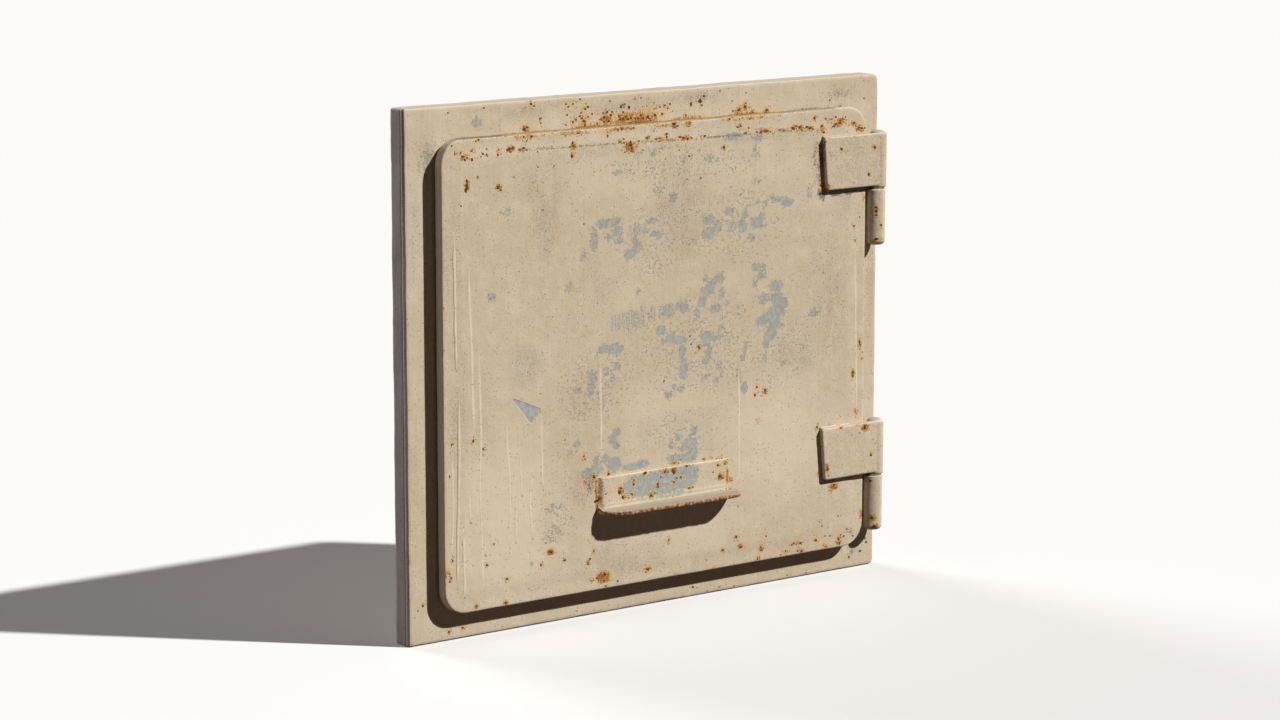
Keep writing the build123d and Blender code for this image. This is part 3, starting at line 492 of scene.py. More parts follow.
# Runs of thick paint down the door: pixel columns and rows along each one
PAINT_RUNS = [
    [(454, 232), (455, 262), (457, 372)],
    [(459, 385), (460, 454), (459, 503), (458, 590)],
    [(468, 256), (472, 360), (474, 436)],
    [(479, 340), (481, 450), (480, 483), (482, 540), (484, 603)],
    [(505, 415), (510, 483), (510, 554)],
    [(520, 452), (522, 497)],
    [(532, 470), (530, 503), (533, 540)],
    [(541, 415), (542, 455), (543, 491)],
    [(600, 358), (601, 410), (602, 462)],
    [(452, 452), (454, 500), (452, 560)],
    [(469, 491), (471, 524)],
    [(516, 503), (516, 544)],
    [(464, 530), (465, 599)],
    [(855, 244), (856, 330), (857, 415)],
    [(739, 367), (739, 430), (739, 483)],
]


def srgb(red, green, blue):
    """The linear colour that a material takes, from 0 to 255 as the screen shows it."""
    parts = [c / 255 for c in (red, green, blue)]
    return tuple(c / 12.92 if c <= 0.04045 else ((c + 0.055) / 1.055) ** 2.4 for c in parts) + (1,)


CREAM = srgb(200, 185, 159)
CREAM_PALE = srgb(213, 198, 173)
CREAM_WARM = srgb(196, 175, 142)
CREAM_GREY = srgb(166, 155, 140)
SIDE_GREY = srgb(172, 163, 163)
# Pale run paint, which also stands in for a painted highlight on each run's crest
RUN_PALE_HIGHLIGHT = srgb(219, 204, 179)
BLUE_OLD = srgb(140, 146, 144)
BLUE_PALE = srgb(161, 167, 161)
VEIL = srgb(138, 126, 116)
# Dark brown for dirt, and for the painted shadow under the hinge leaves and on the frame plate's edge
GRIME_AND_SHADE = srgb(88, 77, 64)
SPECK = srgb(92, 78, 58)
FLECK = srgb(142, 128, 106)
LEDGE_DIRT = srgb(136, 126, 112)
STAIN_PALE = srgb(206, 172, 112)
STAIN_DEEP = srgb(178, 117, 45)
RUST_LIGHT = srgb(154, 100, 56)
RUST_MID = srgb(134, 84, 38)
RUST_DARK = srgb(88, 56, 32)
DUST = srgb(156, 147, 141)
SIDE_MIX = {"frame": 0.85, "door": 0.25}  # how grey the sides are
GROW = {"stain": 1.4 * MM, "blue": 0.6 * MM}  # how far these marks spread past their listed size


def marks_on(pixels, depth):
    """Marks in metres on the plane at this depth, from marks in the photograph's pixels."""
    marks = []
    for u, v, half_width, half_height, *rest in pixels:
        strength = rest[0] if rest else 1.0
        x, z = on_plane(u, v, depth)
        right, _ = on_plane(u + half_width, v, depth)
        _, top = on_plane(u, v - half_height, depth)
        marks.append((x, z, right - x, top - z, strength))
    return marks


def mark_field(xs, zs, marks, grow=0.0, drop=0.0):
    """Each mark's strength at its middle, fading to 0 at its rim; the greatest at each point."""
    field = np.zeros_like(xs)
    for x, z, half_width, half_height, strength in marks:
        across = (xs - x) / (half_width + grow)
        down = zs - z + drop / 2
        along = down / (half_height + grow + drop / 2)
        field = np.maximum(field, strength * np.clip(1 - across * across - along * along, 0, 1))
    return field


def smoothly(value, low, high):
    t = np.clip((value - low) / (high - low), 0, 1)
    return t * t * (3 - 2 * t)


def positions(mesh):
    flat = np.empty(len(mesh.vertices) * 3, dtype=np.float32)
    mesh.vertices.foreach_get("co", flat)
    return flat.reshape(-1, 3)


def directions(mesh):
    flat = np.empty(len(mesh.vertices) * 3, dtype=np.float32)
    mesh.vertices.foreach_get("normal", flat)
    return flat.reshape(-1, 3)


def carry(mesh, name, values):
    """Write a number at each vertex of the mesh, for the materials to read."""
    layer = mesh.attributes.new(name, "FLOAT", "POINT")
    layer.data.foreach_set("value", np.asarray(values, dtype=np.float32))


def wear(mesh, **fields):
    """Carry named fields on the mesh, from marks on what faces forwards or from functions."""
    points = positions(mesh).astype(float)
    forwards = np.clip(-directions(mesh)[:, 1], 0, 1)
    for name, sources in fields.items():
        value = np.zeros(len(points))
        for source in sources:
            if callable(source):
                more = source(points)
            else:
                more = mark_field(points[:, 0], points[:, 2], source, GROW.get(name, 0.0)) * forwards
            value = np.maximum(value, more)
        carry(mesh, name, value)


def paint_noises(g):
    """The noises that the coats of paint share, from a slow swell to fine grit."""
    g.swell = g.noise(8, 4, 0.6)
    g.middle = g.noise(52, 4, 0.6)
    g.rot = g.noise(1.0, 5, 0.72, g.stretch((250, 250, 170)))
    g.fine = g.noise(780, 2, 0.7)
    g.brushed = g.noise(1.0, 3, 0.6, g.stretch((300, 300, 22)))


def cream_coat(g):
    """Slow changes of tone, a sandy grain, brush marks, paler paint where it is thick, and the runs' pale
    paint with a painted highlight on their crests.
    """
    colour = g.mix(g.times(g.step(g.swell, 0.40, 0.62), 0.55), CREAM, CREAM_WARM)
    colour = g.mix(g.times(g.step(g.middle, 0.44, 0.64), 0.40), colour, CREAM_PALE)
    grain = g.times(g.step(g.fine, 0.40, 0.66), 0.42)
    strokes = g.times(g.step(g.brushed, 0.46, 0.70), 0.14)
    colour = g.mix(g.add(grain, strokes), colour, CREAM_GREY)
    thick = g.times(g.field("pale"), g.add(0.42, g.times(g.brushed, 0.5)))
    colour = g.mix(thick, colour, CREAM_PALE)
    return g.mix(g.step(g.field("run"), 0.0, 1.0), colour, RUN_PALE_HIGHLIGHT)


def dusty_sides(g, colour, kind):
    """Greyer sides on the frame and the door, and dust or dirt on what faces up."""
    geometry = g.tree.nodes.new("ShaderNodeNewGeometry")
    normal = g.node("ShaderNodeSeparateXYZ", {0: geometry.outputs["Normal"]}).outputs
    if kind in SIDE_MIX:
        sideways = g.step(g.math("ABSOLUTE", normal[0]), 0.6, 0.9)
        colour = g.mix(g.times(sideways, SIDE_MIX[kind]), colour, SIDE_GREY)
    if kind != "handle":
        return g.mix(g.times(g.step(normal[2], 0.6, 0.95), 0.75), colour, DUST)
    height = g.node("ShaderNodeSeparateXYZ", {0: g.point}).outputs[2]
    low = g.step(height, handle_lo.z + 17 * MM, handle_lo.z + 10 * MM)
    ledge = g.times(g.step(normal[2], 0.12, 0.55), low)
    return g.mix(g.times(ledge, g.add(0.60, g.times(g.rot, 0.5))), colour, LEDGE_DIRT)


def old_blue(g, colour):
    """Old blue paint where the cream has flaked off. Returns the colour, and where it flaked."""
    blue = g.field("blue")
    flaking = g.add(g.times(blue, 0.80), g.swing(g.noise(300, 5, 0.80), 4.0), g.swing(g.middle, 0.8))
    flaked = g.times(g.step(flaking, 0.42, 0.50), g.step(blue, 0.02, 0.12))
    lines = g.step(g.noise(1.0, 2, 0.6, g.stretch((430, 430, 25))), 0.47, 0.55)
    hatched = g.times(g.step(g.field("hatch"), 0.45, 0.55), lines, g.step(g.fine, 0.36, 0.52))
    flaked = g.most(flaked, g.step(g.field("flake"), 0.45, 0.55), g.times(hatched, 0.75))
    tone = g.mix(g.step(g.rot, 0.42, 0.60), BLUE_OLD, BLUE_PALE)
    return g.mix(g.times(flaked, g.add(0.58, g.times(g.fine, 0.5))), colour, tone), flaked


def dirt_and_shade_coat(g, colour):
    """Veils of grey film, sand in them, smears of dirt, and the painted shadow that the same field carries
    under the hinge leaves and on the frame plate's edge.
    """
    veil = g.field("veil")
    smear = g.noise(1.0, 4, 0.65, g.stretch((95, 95, 30)))
    film = g.times(veil, g.step(g.add(smear, g.times(g.fine, 0.35)), 0.44, 0.92), 0.45)
    grains = g.step(g.add(g.fine, g.times(veil, 0.10), g.times(smear, 0.3)), 0.69, 0.82)
    sand = g.times(grains, g.step(veil, 0.0, 0.3))
    haze = g.times(g.step(g.noise(19, 3, 0.6), 0.50, 0.72), g.step(g.rot, 0.42, 0.66))
    colour = g.mix(g.most(g.times(sand, 0.36), film, g.times(haze, 0.18)), colour, VEIL)
    # This field carries dirt, and painted shadow under the hinge leaves and on the frame plate's edge
    grime = g.field("grime")
    smeared = g.add(grime, g.swing(g.rot, 2.2), g.swing(g.fine, 2.4))
    dirty_and_shaded = g.times(g.step(smeared, 0.50, 1.10), g.step(grime, 0.0, 0.25))
    return g.mix(g.times(dirty_and_shaded, 0.80), colour, GRIME_AND_SHADE)


def specks(g, colour):
    """Flecks and dark specks, which crowd where there is dirt, painted shade or bare blue paint."""
    crowd = g.add(
        g.times(g.step(g.middle, 0.44, 0.62), 0.06),
        g.times(g.field("veil"), 0.10),
        g.times(g.field("grime"), 0.12),
        g.times(g.field("blue"), 0.05),
    )

    def scattered(scale, size, share):
        """Dots in some of the cells: size and share give where each fades in and is full."""
        near, chance = g.cells(scale)
        return g.times(g.step(near, *size), g.step(g.add(chance, crowd), *share))

    flecks = scattered(420, (0.42, 0.22), (0.88, 0.94))
    colour = g.mix(g.times(flecks, 0.66), colour, FLECK)
    small = scattered(330, (0.26, 0.14), (0.972, 0.99))
    larger = scattered(135, (0.12, 0.07), (0.93, 0.95))
    return g.mix(g.times(g.most(small, larger), 0.80), colour, SPECK)


def rust_coat(g, colour):
    """A pale stain, an orange bloom, and brown points at its worst. Returns the colour and bloom."""
    stain = g.field("stain")
    shown = g.step(stain, 0.0, 0.20)
    gritty = g.swing(g.fine, 1.8)
    creep = g.add(stain, g.swing(g.rot, 2.0))
    colour = g.mix(g.times(g.step(creep, 0.14, 0.74), shown, 0.66), colour, STAIN_PALE)
    bloom = g.times(g.step(g.add(creep, gritty), 0.66, 1.02), shown)
    colour = g.mix(g.times(bloom, 0.80), colour, STAIN_DEEP)
    core = g.times(g.step(g.add(creep, g.times(gritty, 1.5)), 1.02, 1.22), shown)
    colour = g.mix(g.times(core, 0.85), colour, RUST_MID)
    near, chance = g.cells(430)
    crowded = g.step(g.add(chance, g.times(stain, 0.42)), 0.94, 1.0)
    points = g.times(g.step(near, 0.42, 0.24), crowded, shown)
    return g.mix(g.times(points, 0.80), colour, RUST_DARK), bloom


def bare_rim(g, colour):
    """Rust along a rim where the paint is knocked off."""
    worn = g.field("rim")
    shown = g.step(worn, 0.0, 0.3)
    rim = g.add(worn, g.swing(g.noise(260, 4, 0.75), 3.6))
    colour = g.mix(g.times(g.step(rim, 0.40, 0.62), shown, 0.85), colour, RUST_LIGHT)
    core = g.times(g.step(g.add(rim, g.swing(g.fine, 1.8)), 0.78, 1.00), shown)
    return g.mix(g.times(core, 0.9), colour, RUST_DARK)


def paint_relief(g, flaked, bloom):
    """Orange peel, sags, brush marks, flaked edges and scaly rust."""
    peel = g.bump(g.add(g.times(g.fine, 0.5), g.rot), 0.4 * MM, 0.35)
    sag = g.bump(g.noise(34, 3, 0.5), 3 * MM, 0.25, peel)
    strokes = g.bump(g.brushed, 0.5 * MM, 0.20, sag)
    edges = g.bump(g.times(flaked, -1.0), 0.25 * MM, 0.8, strokes)
    return g.bump(g.times(g.rot, bloom), 1.2 * MM, 0.6, edges)


def weathered_paint(name, kind):
    """Thick cream paint over pale blue, with dirt, painted shade, specks, rust stains and old paint
    showing.
    """
    g = Graph(name)
    paint_noises(g)
    colour = dusty_sides(g, cream_coat(g), kind)
    colour, flaked = old_blue(g, colour)
    colour = specks(g, dirt_and_shade_coat(g, colour))
    colour, bloom = rust_coat(g, colour)
    rough = g.add(0.55, g.times(g.swell, 0.12), g.times(bloom, 0.25))
    return g.finish(bare_rim(g, colour), rough, paint_relief(g, flaked, bloom), specular=0.18)


def rust_scale():
    """Blistered rust: dark in the middle of each scab, orange at its rim."""
    g = Graph("rust_scale")
    rot = g.noise(600, 4, 0.7)
    core = g.add(g.field("core"), g.swing(rot, 1.4))
    tone = g.mix(g.step(core, 0.10, 0.40), STAIN_DEEP, RUST_MID)
    tone = g.mix(g.step(core, 0.45, 0.75), tone, RUST_DARK)
    return g.finish(tone, 0.9, g.bump(rot, 0.5 * MM, 0.8), specular=0.2)


def steel():
    g = Graph("pin_steel")
    turned = g.noise(1.0, 3, 0.6, g.stretch((60, 60, 1800)))
    oily = g.noise(90, 4, 0.6)
    tone = g.mix(g.step(oily, 0.42, 0.6), (0.42, 0.40, 0.38, 1), (0.12, 0.085, 0.06, 1))
    return g.finish(tone, g.add(0.28, g.times(oily, 0.3)), g.bump(turned, 0.0001, 0.5), metallic=0.9)


def brass():
    g = Graph("washer_brass")
    worn = g.noise(260, 4, 0.65)
    tone = g.mix(g.step(worn, 0.40, 0.62), (0.45, 0.34, 0.16, 1), (0.20, 0.14, 0.07, 1))
    return g.finish(tone, g.add(0.35, g.times(worn, 0.3)), g.bump(worn, 0.0001, 0.5), metallic=0.9)


def rubber():
    g = Graph("gasket_rubber")
    pores = g.noise(900, 4, 0.7)
    dusty = g.noise(60, 4, 0.6)
    tone = g.mix(g.step(dusty, 0.45, 0.7), (0.022, 0.022, 0.023, 1), (0.075, 0.068, 0.058, 1))
    return g.finish(tone, g.add(0.75, g.times(pores, 0.2)), g.bump(pores, 0.0003, 0.6), specular=0.3)


DOOR_PAINT = weathered_paint("door_paint", "door")
FRAME_PAINT = weathered_paint("frame_paint", "frame")
HINGE_PAINT = weathered_paint("hinge_paint", "hinge")
HANDLE_PAINT = weathered_paint("handle_paint", "handle")
RUST = rust_scale()
STEEL = steel()
BRASS = brass()
RUBBER = rubber()


# The material of each CAD node, by how its name starts
NODE_MATERIALS = (
    (("frame_face", "frame_edge", "opening_coaming"), FRAME_PAINT),
    (("handle",), HANDLE_PAINT),
    (("door_pan", "gasket_retainer", "door_stiffener"), DOOR_PAINT),
    (("hinge_pin",), STEEL),
    (("hinge_washer",), BRASS),
    (("door_gasket",), RUBBER),
    (("frame_knuckle", "barrel_weld", "door_knuckle", "hinge_leaf", "leaf_weld"), HINGE_PAINT),
)


def dress(node):
    """Put its material on a CAD node."""
    material = next(material for starts, material in NODE_MATERIALS if node.startswith(starts))
    slots = NODES[node].data.materials
    slots.clear()
    slots.append(material)


for node in NODES:
    dress(node)


def mesh_of(work, name):
    """Turn the working mesh into a mesh of this name, and free it."""
    mesh = bpy.data.meshes.new(name)
    work.to_mesh(mesh)
    work.free()
    return mesh


def piece_of(name, mesh, material, body):
    """An object with its material, riding on a body."""
    mesh.materials.append(material)
    mesh.shade_smooth()
    piece = bpy.data.objects.new(name, mesh)
    bpy.context.scene.collection.objects.link(piece)
    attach(piece, body)
    return piece


# Sheet metal from rounded loops
ARC_POINTS = 7
DOOR_RADIUS = 25 * MM
FRAME_CORNERS = (1.5 * MM, 6 * MM, 7 * MM, 3 * MM)  # free low, hinge low, hinge top, free top
WAVE = 0.9 * MM  # how far an edge ripples inwards
FRAME_STEPS = (250, 220)  # steps along each side, across and up
DOOR_STEPS = (250, 214)


def rounded_loop(lo, hi, radii, inset, steps):
    """Points round a rectangle with four corner radii, moved in by the inset, always as many.

    They start at the low left corner and go round by the low right one."""
    corners = [
        (lo[0], lo[1], 1, 1, 180),
        (hi[0], lo[1], -1, 1, 270),
        (hi[0], hi[1], -1, -1, 0),
        (lo[0], hi[1], 1, -1, 90),
    ]
    arcs = []
    for (x, z, to_x, to_z, start), radius in zip(corners, radii):
        reach = max(radius, inset)
        bend = max(radius - inset, 0.0)
        turns = [math.radians(start + 90 * i / (ARC_POINTS - 1)) for i in range(ARC_POINTS)]
        centre = (x + to_x * reach, z + to_z * reach)
        arcs.append([(centre[0] + bend * math.cos(t), centre[1] + bend * math.sin(t)) for t in turns])
    points = []
    for index, arc in enumerate(arcs):
        points += arc
        x, z = arc[-1]
        next_x, next_z = arcs[(index + 1) % 4][0]
        count = steps[index % 2]
        for i in range(1, count):
            points.append((x + (next_x - x) * i / count, z + (next_z - z) * i / count))
    return points


def wave(x, z, seed, scale=28.0):
    """A slow ripple along an edge, from 0 to 1."""
    slow = noise.noise(Vector((x * scale, seed, z * scale)))
    quick = noise.noise(Vector((x * scale * 3.7, seed + 5, z * scale * 3.7)))
    return min(1.0, max(0.0, 0.5 + 0.55 * slow + 0.30 * quick))


def skin(loops, closed):
    """A mesh through loops of points; closed joins the last loop to the first."""
    mesh = bmesh.new()
    rows = [[mesh.verts.new(point) for point in loop] for loop in loops]
    pairs = list(zip(rows, rows[1:] + rows[:1])) if closed else list(zip(rows, rows[1:]))
    for first, second in pairs:
        for i in range(len(first)):
            j = (i + 1) % len(first)
            mesh.faces.new((first[i], first[j], second[j], second[i]))
    return mesh, rows


def finish_mesh(work, name):
    bmesh.ops.remove_doubles(work, verts=work.verts, dist=1e-6)
    bmesh.ops.dissolve_degenerate(work, edges=work.edges, dist=1e-7)
    bmesh.ops.recalc_face_normals(work, faces=work.faces)
    mesh = bpy.data.meshes.new(name)
    work.to_mesh(mesh)
    work.free()
    return mesh


def at_depth(points, depth, ripple=0.0, seed=0.0, centre=(0.0, 0.0)):
    """Loop points at a depth in front of the wall, rippled towards the middle by up to ripple."""
    placed = []
    for x, z in points:
        if ripple:
            to_x, to_z = centre[0] - x, centre[1] - z
            push = ripple * wave(x, z, seed)
            if abs(to_x) / SPAN_X > abs(to_z) / SPAN_Z:
                x += push if to_x > 0 else -push
            else:
                z += push if to_z > 0 else -push
        placed.append(Vector((x, -depth, z)))
    return placed


FRAME_LO, FRAME_HI = (face_lo[0], face_lo[2]), (face_hi[0], face_hi[2])
DOOR_LO, DOOR_HI = (door_lo[0], door_lo[2]), (door_hi[0], door_hi[2])
FRAME_MID = ((FRAME_LO[0] + FRAME_HI[0]) / 2, (FRAME_LO[1] + FRAME_HI[1]) / 2)
DOOR_MID = ((DOOR_LO[0] + DOOR_HI[0]) / 2, (DOOR_LO[1] + DOOR_HI[1]) / 2)
SPAN_X = FRAME_HI[0] - FRAME_LO[0]
SPAN_Z = FRAME_HI[1] - FRAME_LO[1]

# Profiles: inset from the outline and distance in front of the wall, mm
PLATE_RIM = ((0, 18), (0, 19.5), (0, 21.6), (0.35, 22.65), (1.2, 23))
BAR_OUTSIDE = ((0.05, 18), (0.05, 15), (0.05, 11), (0.05, 7), (0.05, 3), (0.05, 0.8), (0.55, 0))
BAR_INSIDE = ((6.05, 0), (6.05, 9), (6.05, 18))
PAN_INSIDE = ((25, 34), (22, 33.5), (12, 33.5), (3, 33.5), (3, 26))
PAN_SIDE = ((0.3, 26), (0, 26.4), (0, 29), (0, 32), (0, 35))
PAN_SIDE += ((0.12, 35.6), (0.45, 36.1), (0.95, 36.4), (1.6, 36.5))
BORDER_DEPTH, FIELD_RAISE = 36.5, 0.5
FIELD_SLOPE = (10, 24)  # insets at the foot and the top of the slope
BORDER_RINGS = (4, 6.5, 9, 11, 13, 15, 17, 19, 21, 23)
FIELD_INSET = 25
FACE_RINGS = 15
OPENING_INSET = 8 * MM  # from the door's outline to the frame's opening
PAN_BACK = 26.2 * MM  # just in front of the pan's back edge
SEAM_TOP, SEAM_FADE = 490 * MM, 110 * MM
FOLD_HALF_HEIGHT = 2.2 * MM


def frame_loop(inset, depth, seed=None):
    """A loop round the frame, inset and depth in mm, rippled if it has a seed."""
    loop = rounded_loop(FRAME_LO, FRAME_HI, FRAME_CORNERS, inset * MM, FRAME_STEPS)
    if seed is None:
        return at_depth(loop, depth * MM)
    return at_depth(loop, depth * MM, WAVE, seed, FRAME_MID)


def seam_dirt_and_shade(points):
    """Dirt and painted shade on the plate's edge along the free side, widest and darkest at the top."""
    side = smoothly(points[:, 0] - FRAME_LO[0], 2.2 * MM, 1.0 * MM)
    high = smoothly(points[:, 2], SEAM_TOP - SEAM_FADE, SEAM_TOP)
    depth = -points[:, 1]
    plate = smoothly(depth, 17.8 * MM, 19.5 * MM) * (1 - smoothly(depth, 21.6 * MM, 22.7 * MM))
    return side * (0.45 + 1.1 * high) * plate


def make_face():
    """The frame's face plate, with a rippled rounded rim."""
    opening = rounded_loop(DOOR_LO, DOOR_HI, (DOOR_RADIUS,) * 4, OPENING_INSET, FRAME_STEPS)
    loops = [frame_loop(inset, depth, 1.0) for inset, depth in PLATE_RIM]
    rim = loops[-1]
    inner = at_depth(opening, FRAME_FACE)
    for step in range(1, FACE_RINGS):
        loops.append([a.lerp(b, step / FACE_RINGS) for a, b in zip(rim, inner)])
    loops.append(inner)
    loops.append(at_depth(opening, PLATE_RIM[0][1] * MM))
    work, _ = skin(loops, closed=True)
    mesh = finish_mesh(work, "face_plate")
    wear(
        mesh,
        stain=[marks_on(RUST_ON_FRAME, FRAME_FACE)],
        blue=[marks_on(BLUE_ON_FRAME, FRAME_FACE)],
        veil=[marks_on(VEIL_ON_FRAME, FRAME_FACE)],
        grime=[marks_on(GRIME_ON_FRAME, FRAME_FACE), seam_dirt_and_shade],
    )
    piece = piece_of("face_plate", mesh, FRAME_PAINT, "frame")
    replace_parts(piece, "frame_face")


def make_edges():
    """The four edge bars, welded into one rippled ring and painted over."""
    front = BAR_OUTSIDE[0][1]
    loops = [frame_loop(inset, depth, 1.0 + 0.05 * (front - depth)) for inset, depth in BAR_OUTSIDE]
    loops += [frame_loop(inset, depth) for inset, depth in BAR_INSIDE]
    work, _ = skin(loops, closed=True)
    mesh = finish_mesh(work, "edge_ring")
    wear(mesh)
    piece = piece_of("edge_ring", mesh, FRAME_PAINT, "frame")
    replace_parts(piece, *(f"frame_edge_{side}" for side in ("top", "bottom", "free", "hinge")))


def filled(work, row):
    """Fill a loop that has become a plain rectangle with a dented grid."""
    across, up = DOOR_STEPS
    lo = row[0].co
    hi = row[2 * ARC_POINTS + across + up - 2].co
    lattice = []
    for j in range(up + 1):
        z = lo.z + (hi.z - lo.z) * j / up
        xs = [lo.x + (hi.x - lo.x) * i / across for i in range(across + 1)]
        lattice.append([work.verts.new((x, -(DOOR_FIELD + dent(x, z)), z)) for x in xs])
    for j in range(up):
        for i in range(across):
            work.faces.new((lattice[j][i], lattice[j][i + 1], lattice[j + 1][i + 1], lattice[j + 1][i]))


def dent(x, z):
    """How far the door's skin is out of flat, in metres."""
    broad = noise.noise(Vector((x * 7, 2.0, z * 7))) * 0.22
    lump = noise.noise(Vector((x * 34, 9.0, z * 34))) * 0.07
    return (broad + lump) * MM


def pan_depth(inset):
    """Distance of the pan's front from the wall at this inset from its outline, both in mm."""
    return BORDER_DEPTH + FIELD_RAISE * float(smoothly(inset, *FIELD_SLOPE))


def pan_loop(inset, depth, ripple=0.0):
    """A loop round the pan, inset and depth in mm."""
    loop = rounded_loop(DOOR_LO, DOOR_HI, (DOOR_RADIUS,) * 4, inset * MM, DOOR_STEPS)
    return at_depth(loop, depth * MM, ripple, 7.0, DOOR_MID)


def make_pan():
    """The door's pressed pan: rippled rim, border, slope and a dented field, with its inner side."""
    loops = [pan_loop(inset, depth) for inset, depth in PAN_INSIDE]
    loops += [pan_loop(inset, depth, WAVE / 2) for inset, depth in PAN_SIDE]
    loops += [pan_loop(inset, pan_depth(inset)) for inset in BORDER_RINGS]
    field = pan_loop(FIELD_INSET, pan_depth(FIELD_INSET))
    for point in field:
        point.y -= dent(point.x, point.z)
    work, rows = skin(loops + [field], closed=False)
    filled(work, rows[-1])
    back = [vertex for i, vertex in enumerate(rows[0]) if (vertex.co - rows[0][i - 1].co).length > 1e-6]
    work.faces.new(back)
    mesh = finish_mesh(work, "pressed_pan")
    wear(
        mesh,
        stain=[marks_on(RUST_ON_DOOR, DOOR_FIELD), top_line, fold_rust],
        blue=[marks_on(BLUE_ON_DOOR, DOOR_FIELD)],
        veil=[marks_on(VEIL_ON_DOOR, DOOR_FIELD), side_veil],
        pale=[marks_on(PALE_ON_DOOR, DOOR_FIELD)],
        grime=[marks_on(GRIME_AND_SHADOW_ON_DOOR, DOOR_FIELD), fold_dirt, rim_dirt],
        flake=[inside_shape([on_plane(u, v, DOOR_FIELD) for u, v in TRIANGLE_FLAKE])],
        hatch=[inside_shape([on_plane(u, v, DOOR_FIELD) for u, v in HATCHED])],
    )
    piece = piece_of("pressed_pan", mesh, DOOR_PAINT, "door")
    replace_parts(piece, "door_pan")


def between(points, ends, fade=12 * MM):
    """1 between two pixels' X positions, fading out over a short way at each end."""
    first, last = (on_plane(u, v, DOOR_FIELD)[0] for u, v in ends)
    x = points[:, 0]
    return smoothly(x, first - fade, first + fade) * (1 - smoothly(x, last - fade, last + fade))


def uneven(points, scale, seed):
    """A slow random number from 0 to 1 along X."""
    return np.array([0.5 + 0.5 * noise.noise(Vector((x * scale, seed, 0))) for x in points[:, 0]])


def top_line(points):
    """The thin rusty line where paint bridges the door's top edge and the frame."""
    rim = smoothly(points[:, 2], DOOR_HI[1] - 1.3 * MM, DOOR_HI[1] - 0.3 * MM)
    front = smoothly(-points[:, 1], 28 * MM, 33 * MM)
    return rim * front * between(points, TOP_LINE_ENDS) * (0.15 + 0.8 * uneven(points, 60, 4.0))


def rim_dirt(points):
    """Dirt on the rounded top edge, so that it never shines."""
    rim = smoothly(points[:, 2], DOOR_HI[1] - 1.5 * MM, DOOR_HI[1] - 0.7 * MM)
    strength = 1.1 + 0.5 * uneven(points, 80, 2.0)
    return rim * between(points, RIM_DIRT_ENDS) * strength * (points[:, 1] < -PAN_BACK)


def fold_line(points):
    """How near each point is to the foot of the pressed slope along the door's top."""
    (x0, z0), (x1, z1) = (on_plane(u, v, DOOR_FIELD) for u, v in FOLD_ENDS)
    height = z0 + (points[:, 0] - x0) * (z1 - z0) / (x1 - x0)
    off = np.abs(points[:, 2] - height) / FOLD_HALF_HEIGHT
    return np.clip(1 - off, 0, 1) * between(points, FOLD_ENDS) * (points[:, 1] < -36 * MM)


def fold_dirt(points):
    """Patchy dirt in the fold."""
    return fold_line(points) * (0.45 + 1.3 * uneven(points, 38, 1.0))


def fold_rust(points):
    """Spots of rust in the fold."""
    return fold_line(points) * (1.4 * uneven(points, 46, 9.0) - 0.35)


def side_veil(points):
    """A faint grey veil on the sides of the pan, which face the gap round it."""
    depth = -points[:, 1]
    return 0.2 * (1 - smoothly(depth, 34.5 * MM, 36.2 * MM)) * (depth > PAN_BACK)


VOXEL = 0.9 * MM
LUMPS = 0.22 * MM  # how lumpy the thick paint is
SHAPE_SOFTNESS = 4 * MM  # over which a drawn shape of bare paint fades in


def voxel_shape(name, nodes):
    """CAD nodes joined into one mesh of small even faces, with softened edges."""
    work = bmesh.new()
    for node in nodes:
        work.from_mesh(NODES[node].data)
    bmesh.ops.remove_doubles(work, verts=work.verts, dist=1e-6)
    holder = bpy.data.objects.new(name + "_work", mesh_of(work, name))
    bpy.context.scene.collection.objects.link(holder)
    remesh = holder.modifiers.new("remesh", "REMESH")
    remesh.mode = "VOXEL"
    remesh.voxel_size = VOXEL
    soften = holder.modifiers.new("soften", "SMOOTH")
    soften.factor = 0.5
    soften.iterations = 3
    evaluated = holder.evaluated_get(bpy.context.evaluated_depsgraph_get())
    shape = bpy.data.meshes.new_from_object(evaluated)
    bpy.data.objects.remove(holder)
    shape.name = name
    shape.materials.clear()
    return shape


def weathered_copy(name, nodes, material, body, slot, reshape, chip=None, **fields):
    """Copy CAD nodes into one mesh, reshape it and roughen it like thick old paint."""
    shape = voxel_shape(name, nodes)
    for vertex in shape.vertices:
        vertex.co = reshape(vertex.co)
    shape.update()
    normals = [vertex.normal.copy() for vertex in shape.vertices]
    for vertex, normal in zip(shape.vertices, normals):
        place = vertex.co
        lump = noise.noise(place * 120) * 0.6 + noise.noise(place * 420) * 0.4
        vertex.co = place + normal * (lump - 0.35) * LUMPS
        if chip:
            chip(vertex, normal)
    shape.update()
    wear(shape, **fields)
    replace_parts(piece_of(name, shape, material, body), *nodes)


def inside_shape(corners):
    """How far each vertex is inside the polygon of these (x, z) corners: 1 well inside."""

    def inside(points):
        depth = np.full(len(points), 1.0)
        mid_x = sum(x for x, _ in corners) / len(corners)
        mid_z = sum(z for _, z in corners) / len(corners)
        for (ax, az), (bx, bz) in zip(corners, corners[1:] + corners[:1]):
            length = math.hypot(bx - ax, bz - az)
            nx, nz = (bz - az) / length, (ax - bx) / length
            if nx * (mid_x - ax) + nz * (mid_z - az) < 0:
                nx, nz = -nx, -nz
            inwards = (points[:, 0] - ax) * nx + (points[:, 2] - az) * nz
            depth = np.minimum(depth, 0.5 + inwards / SHAPE_SOFTNESS)
        return depth * (points[:, 1] < -30 * MM)

    return inside


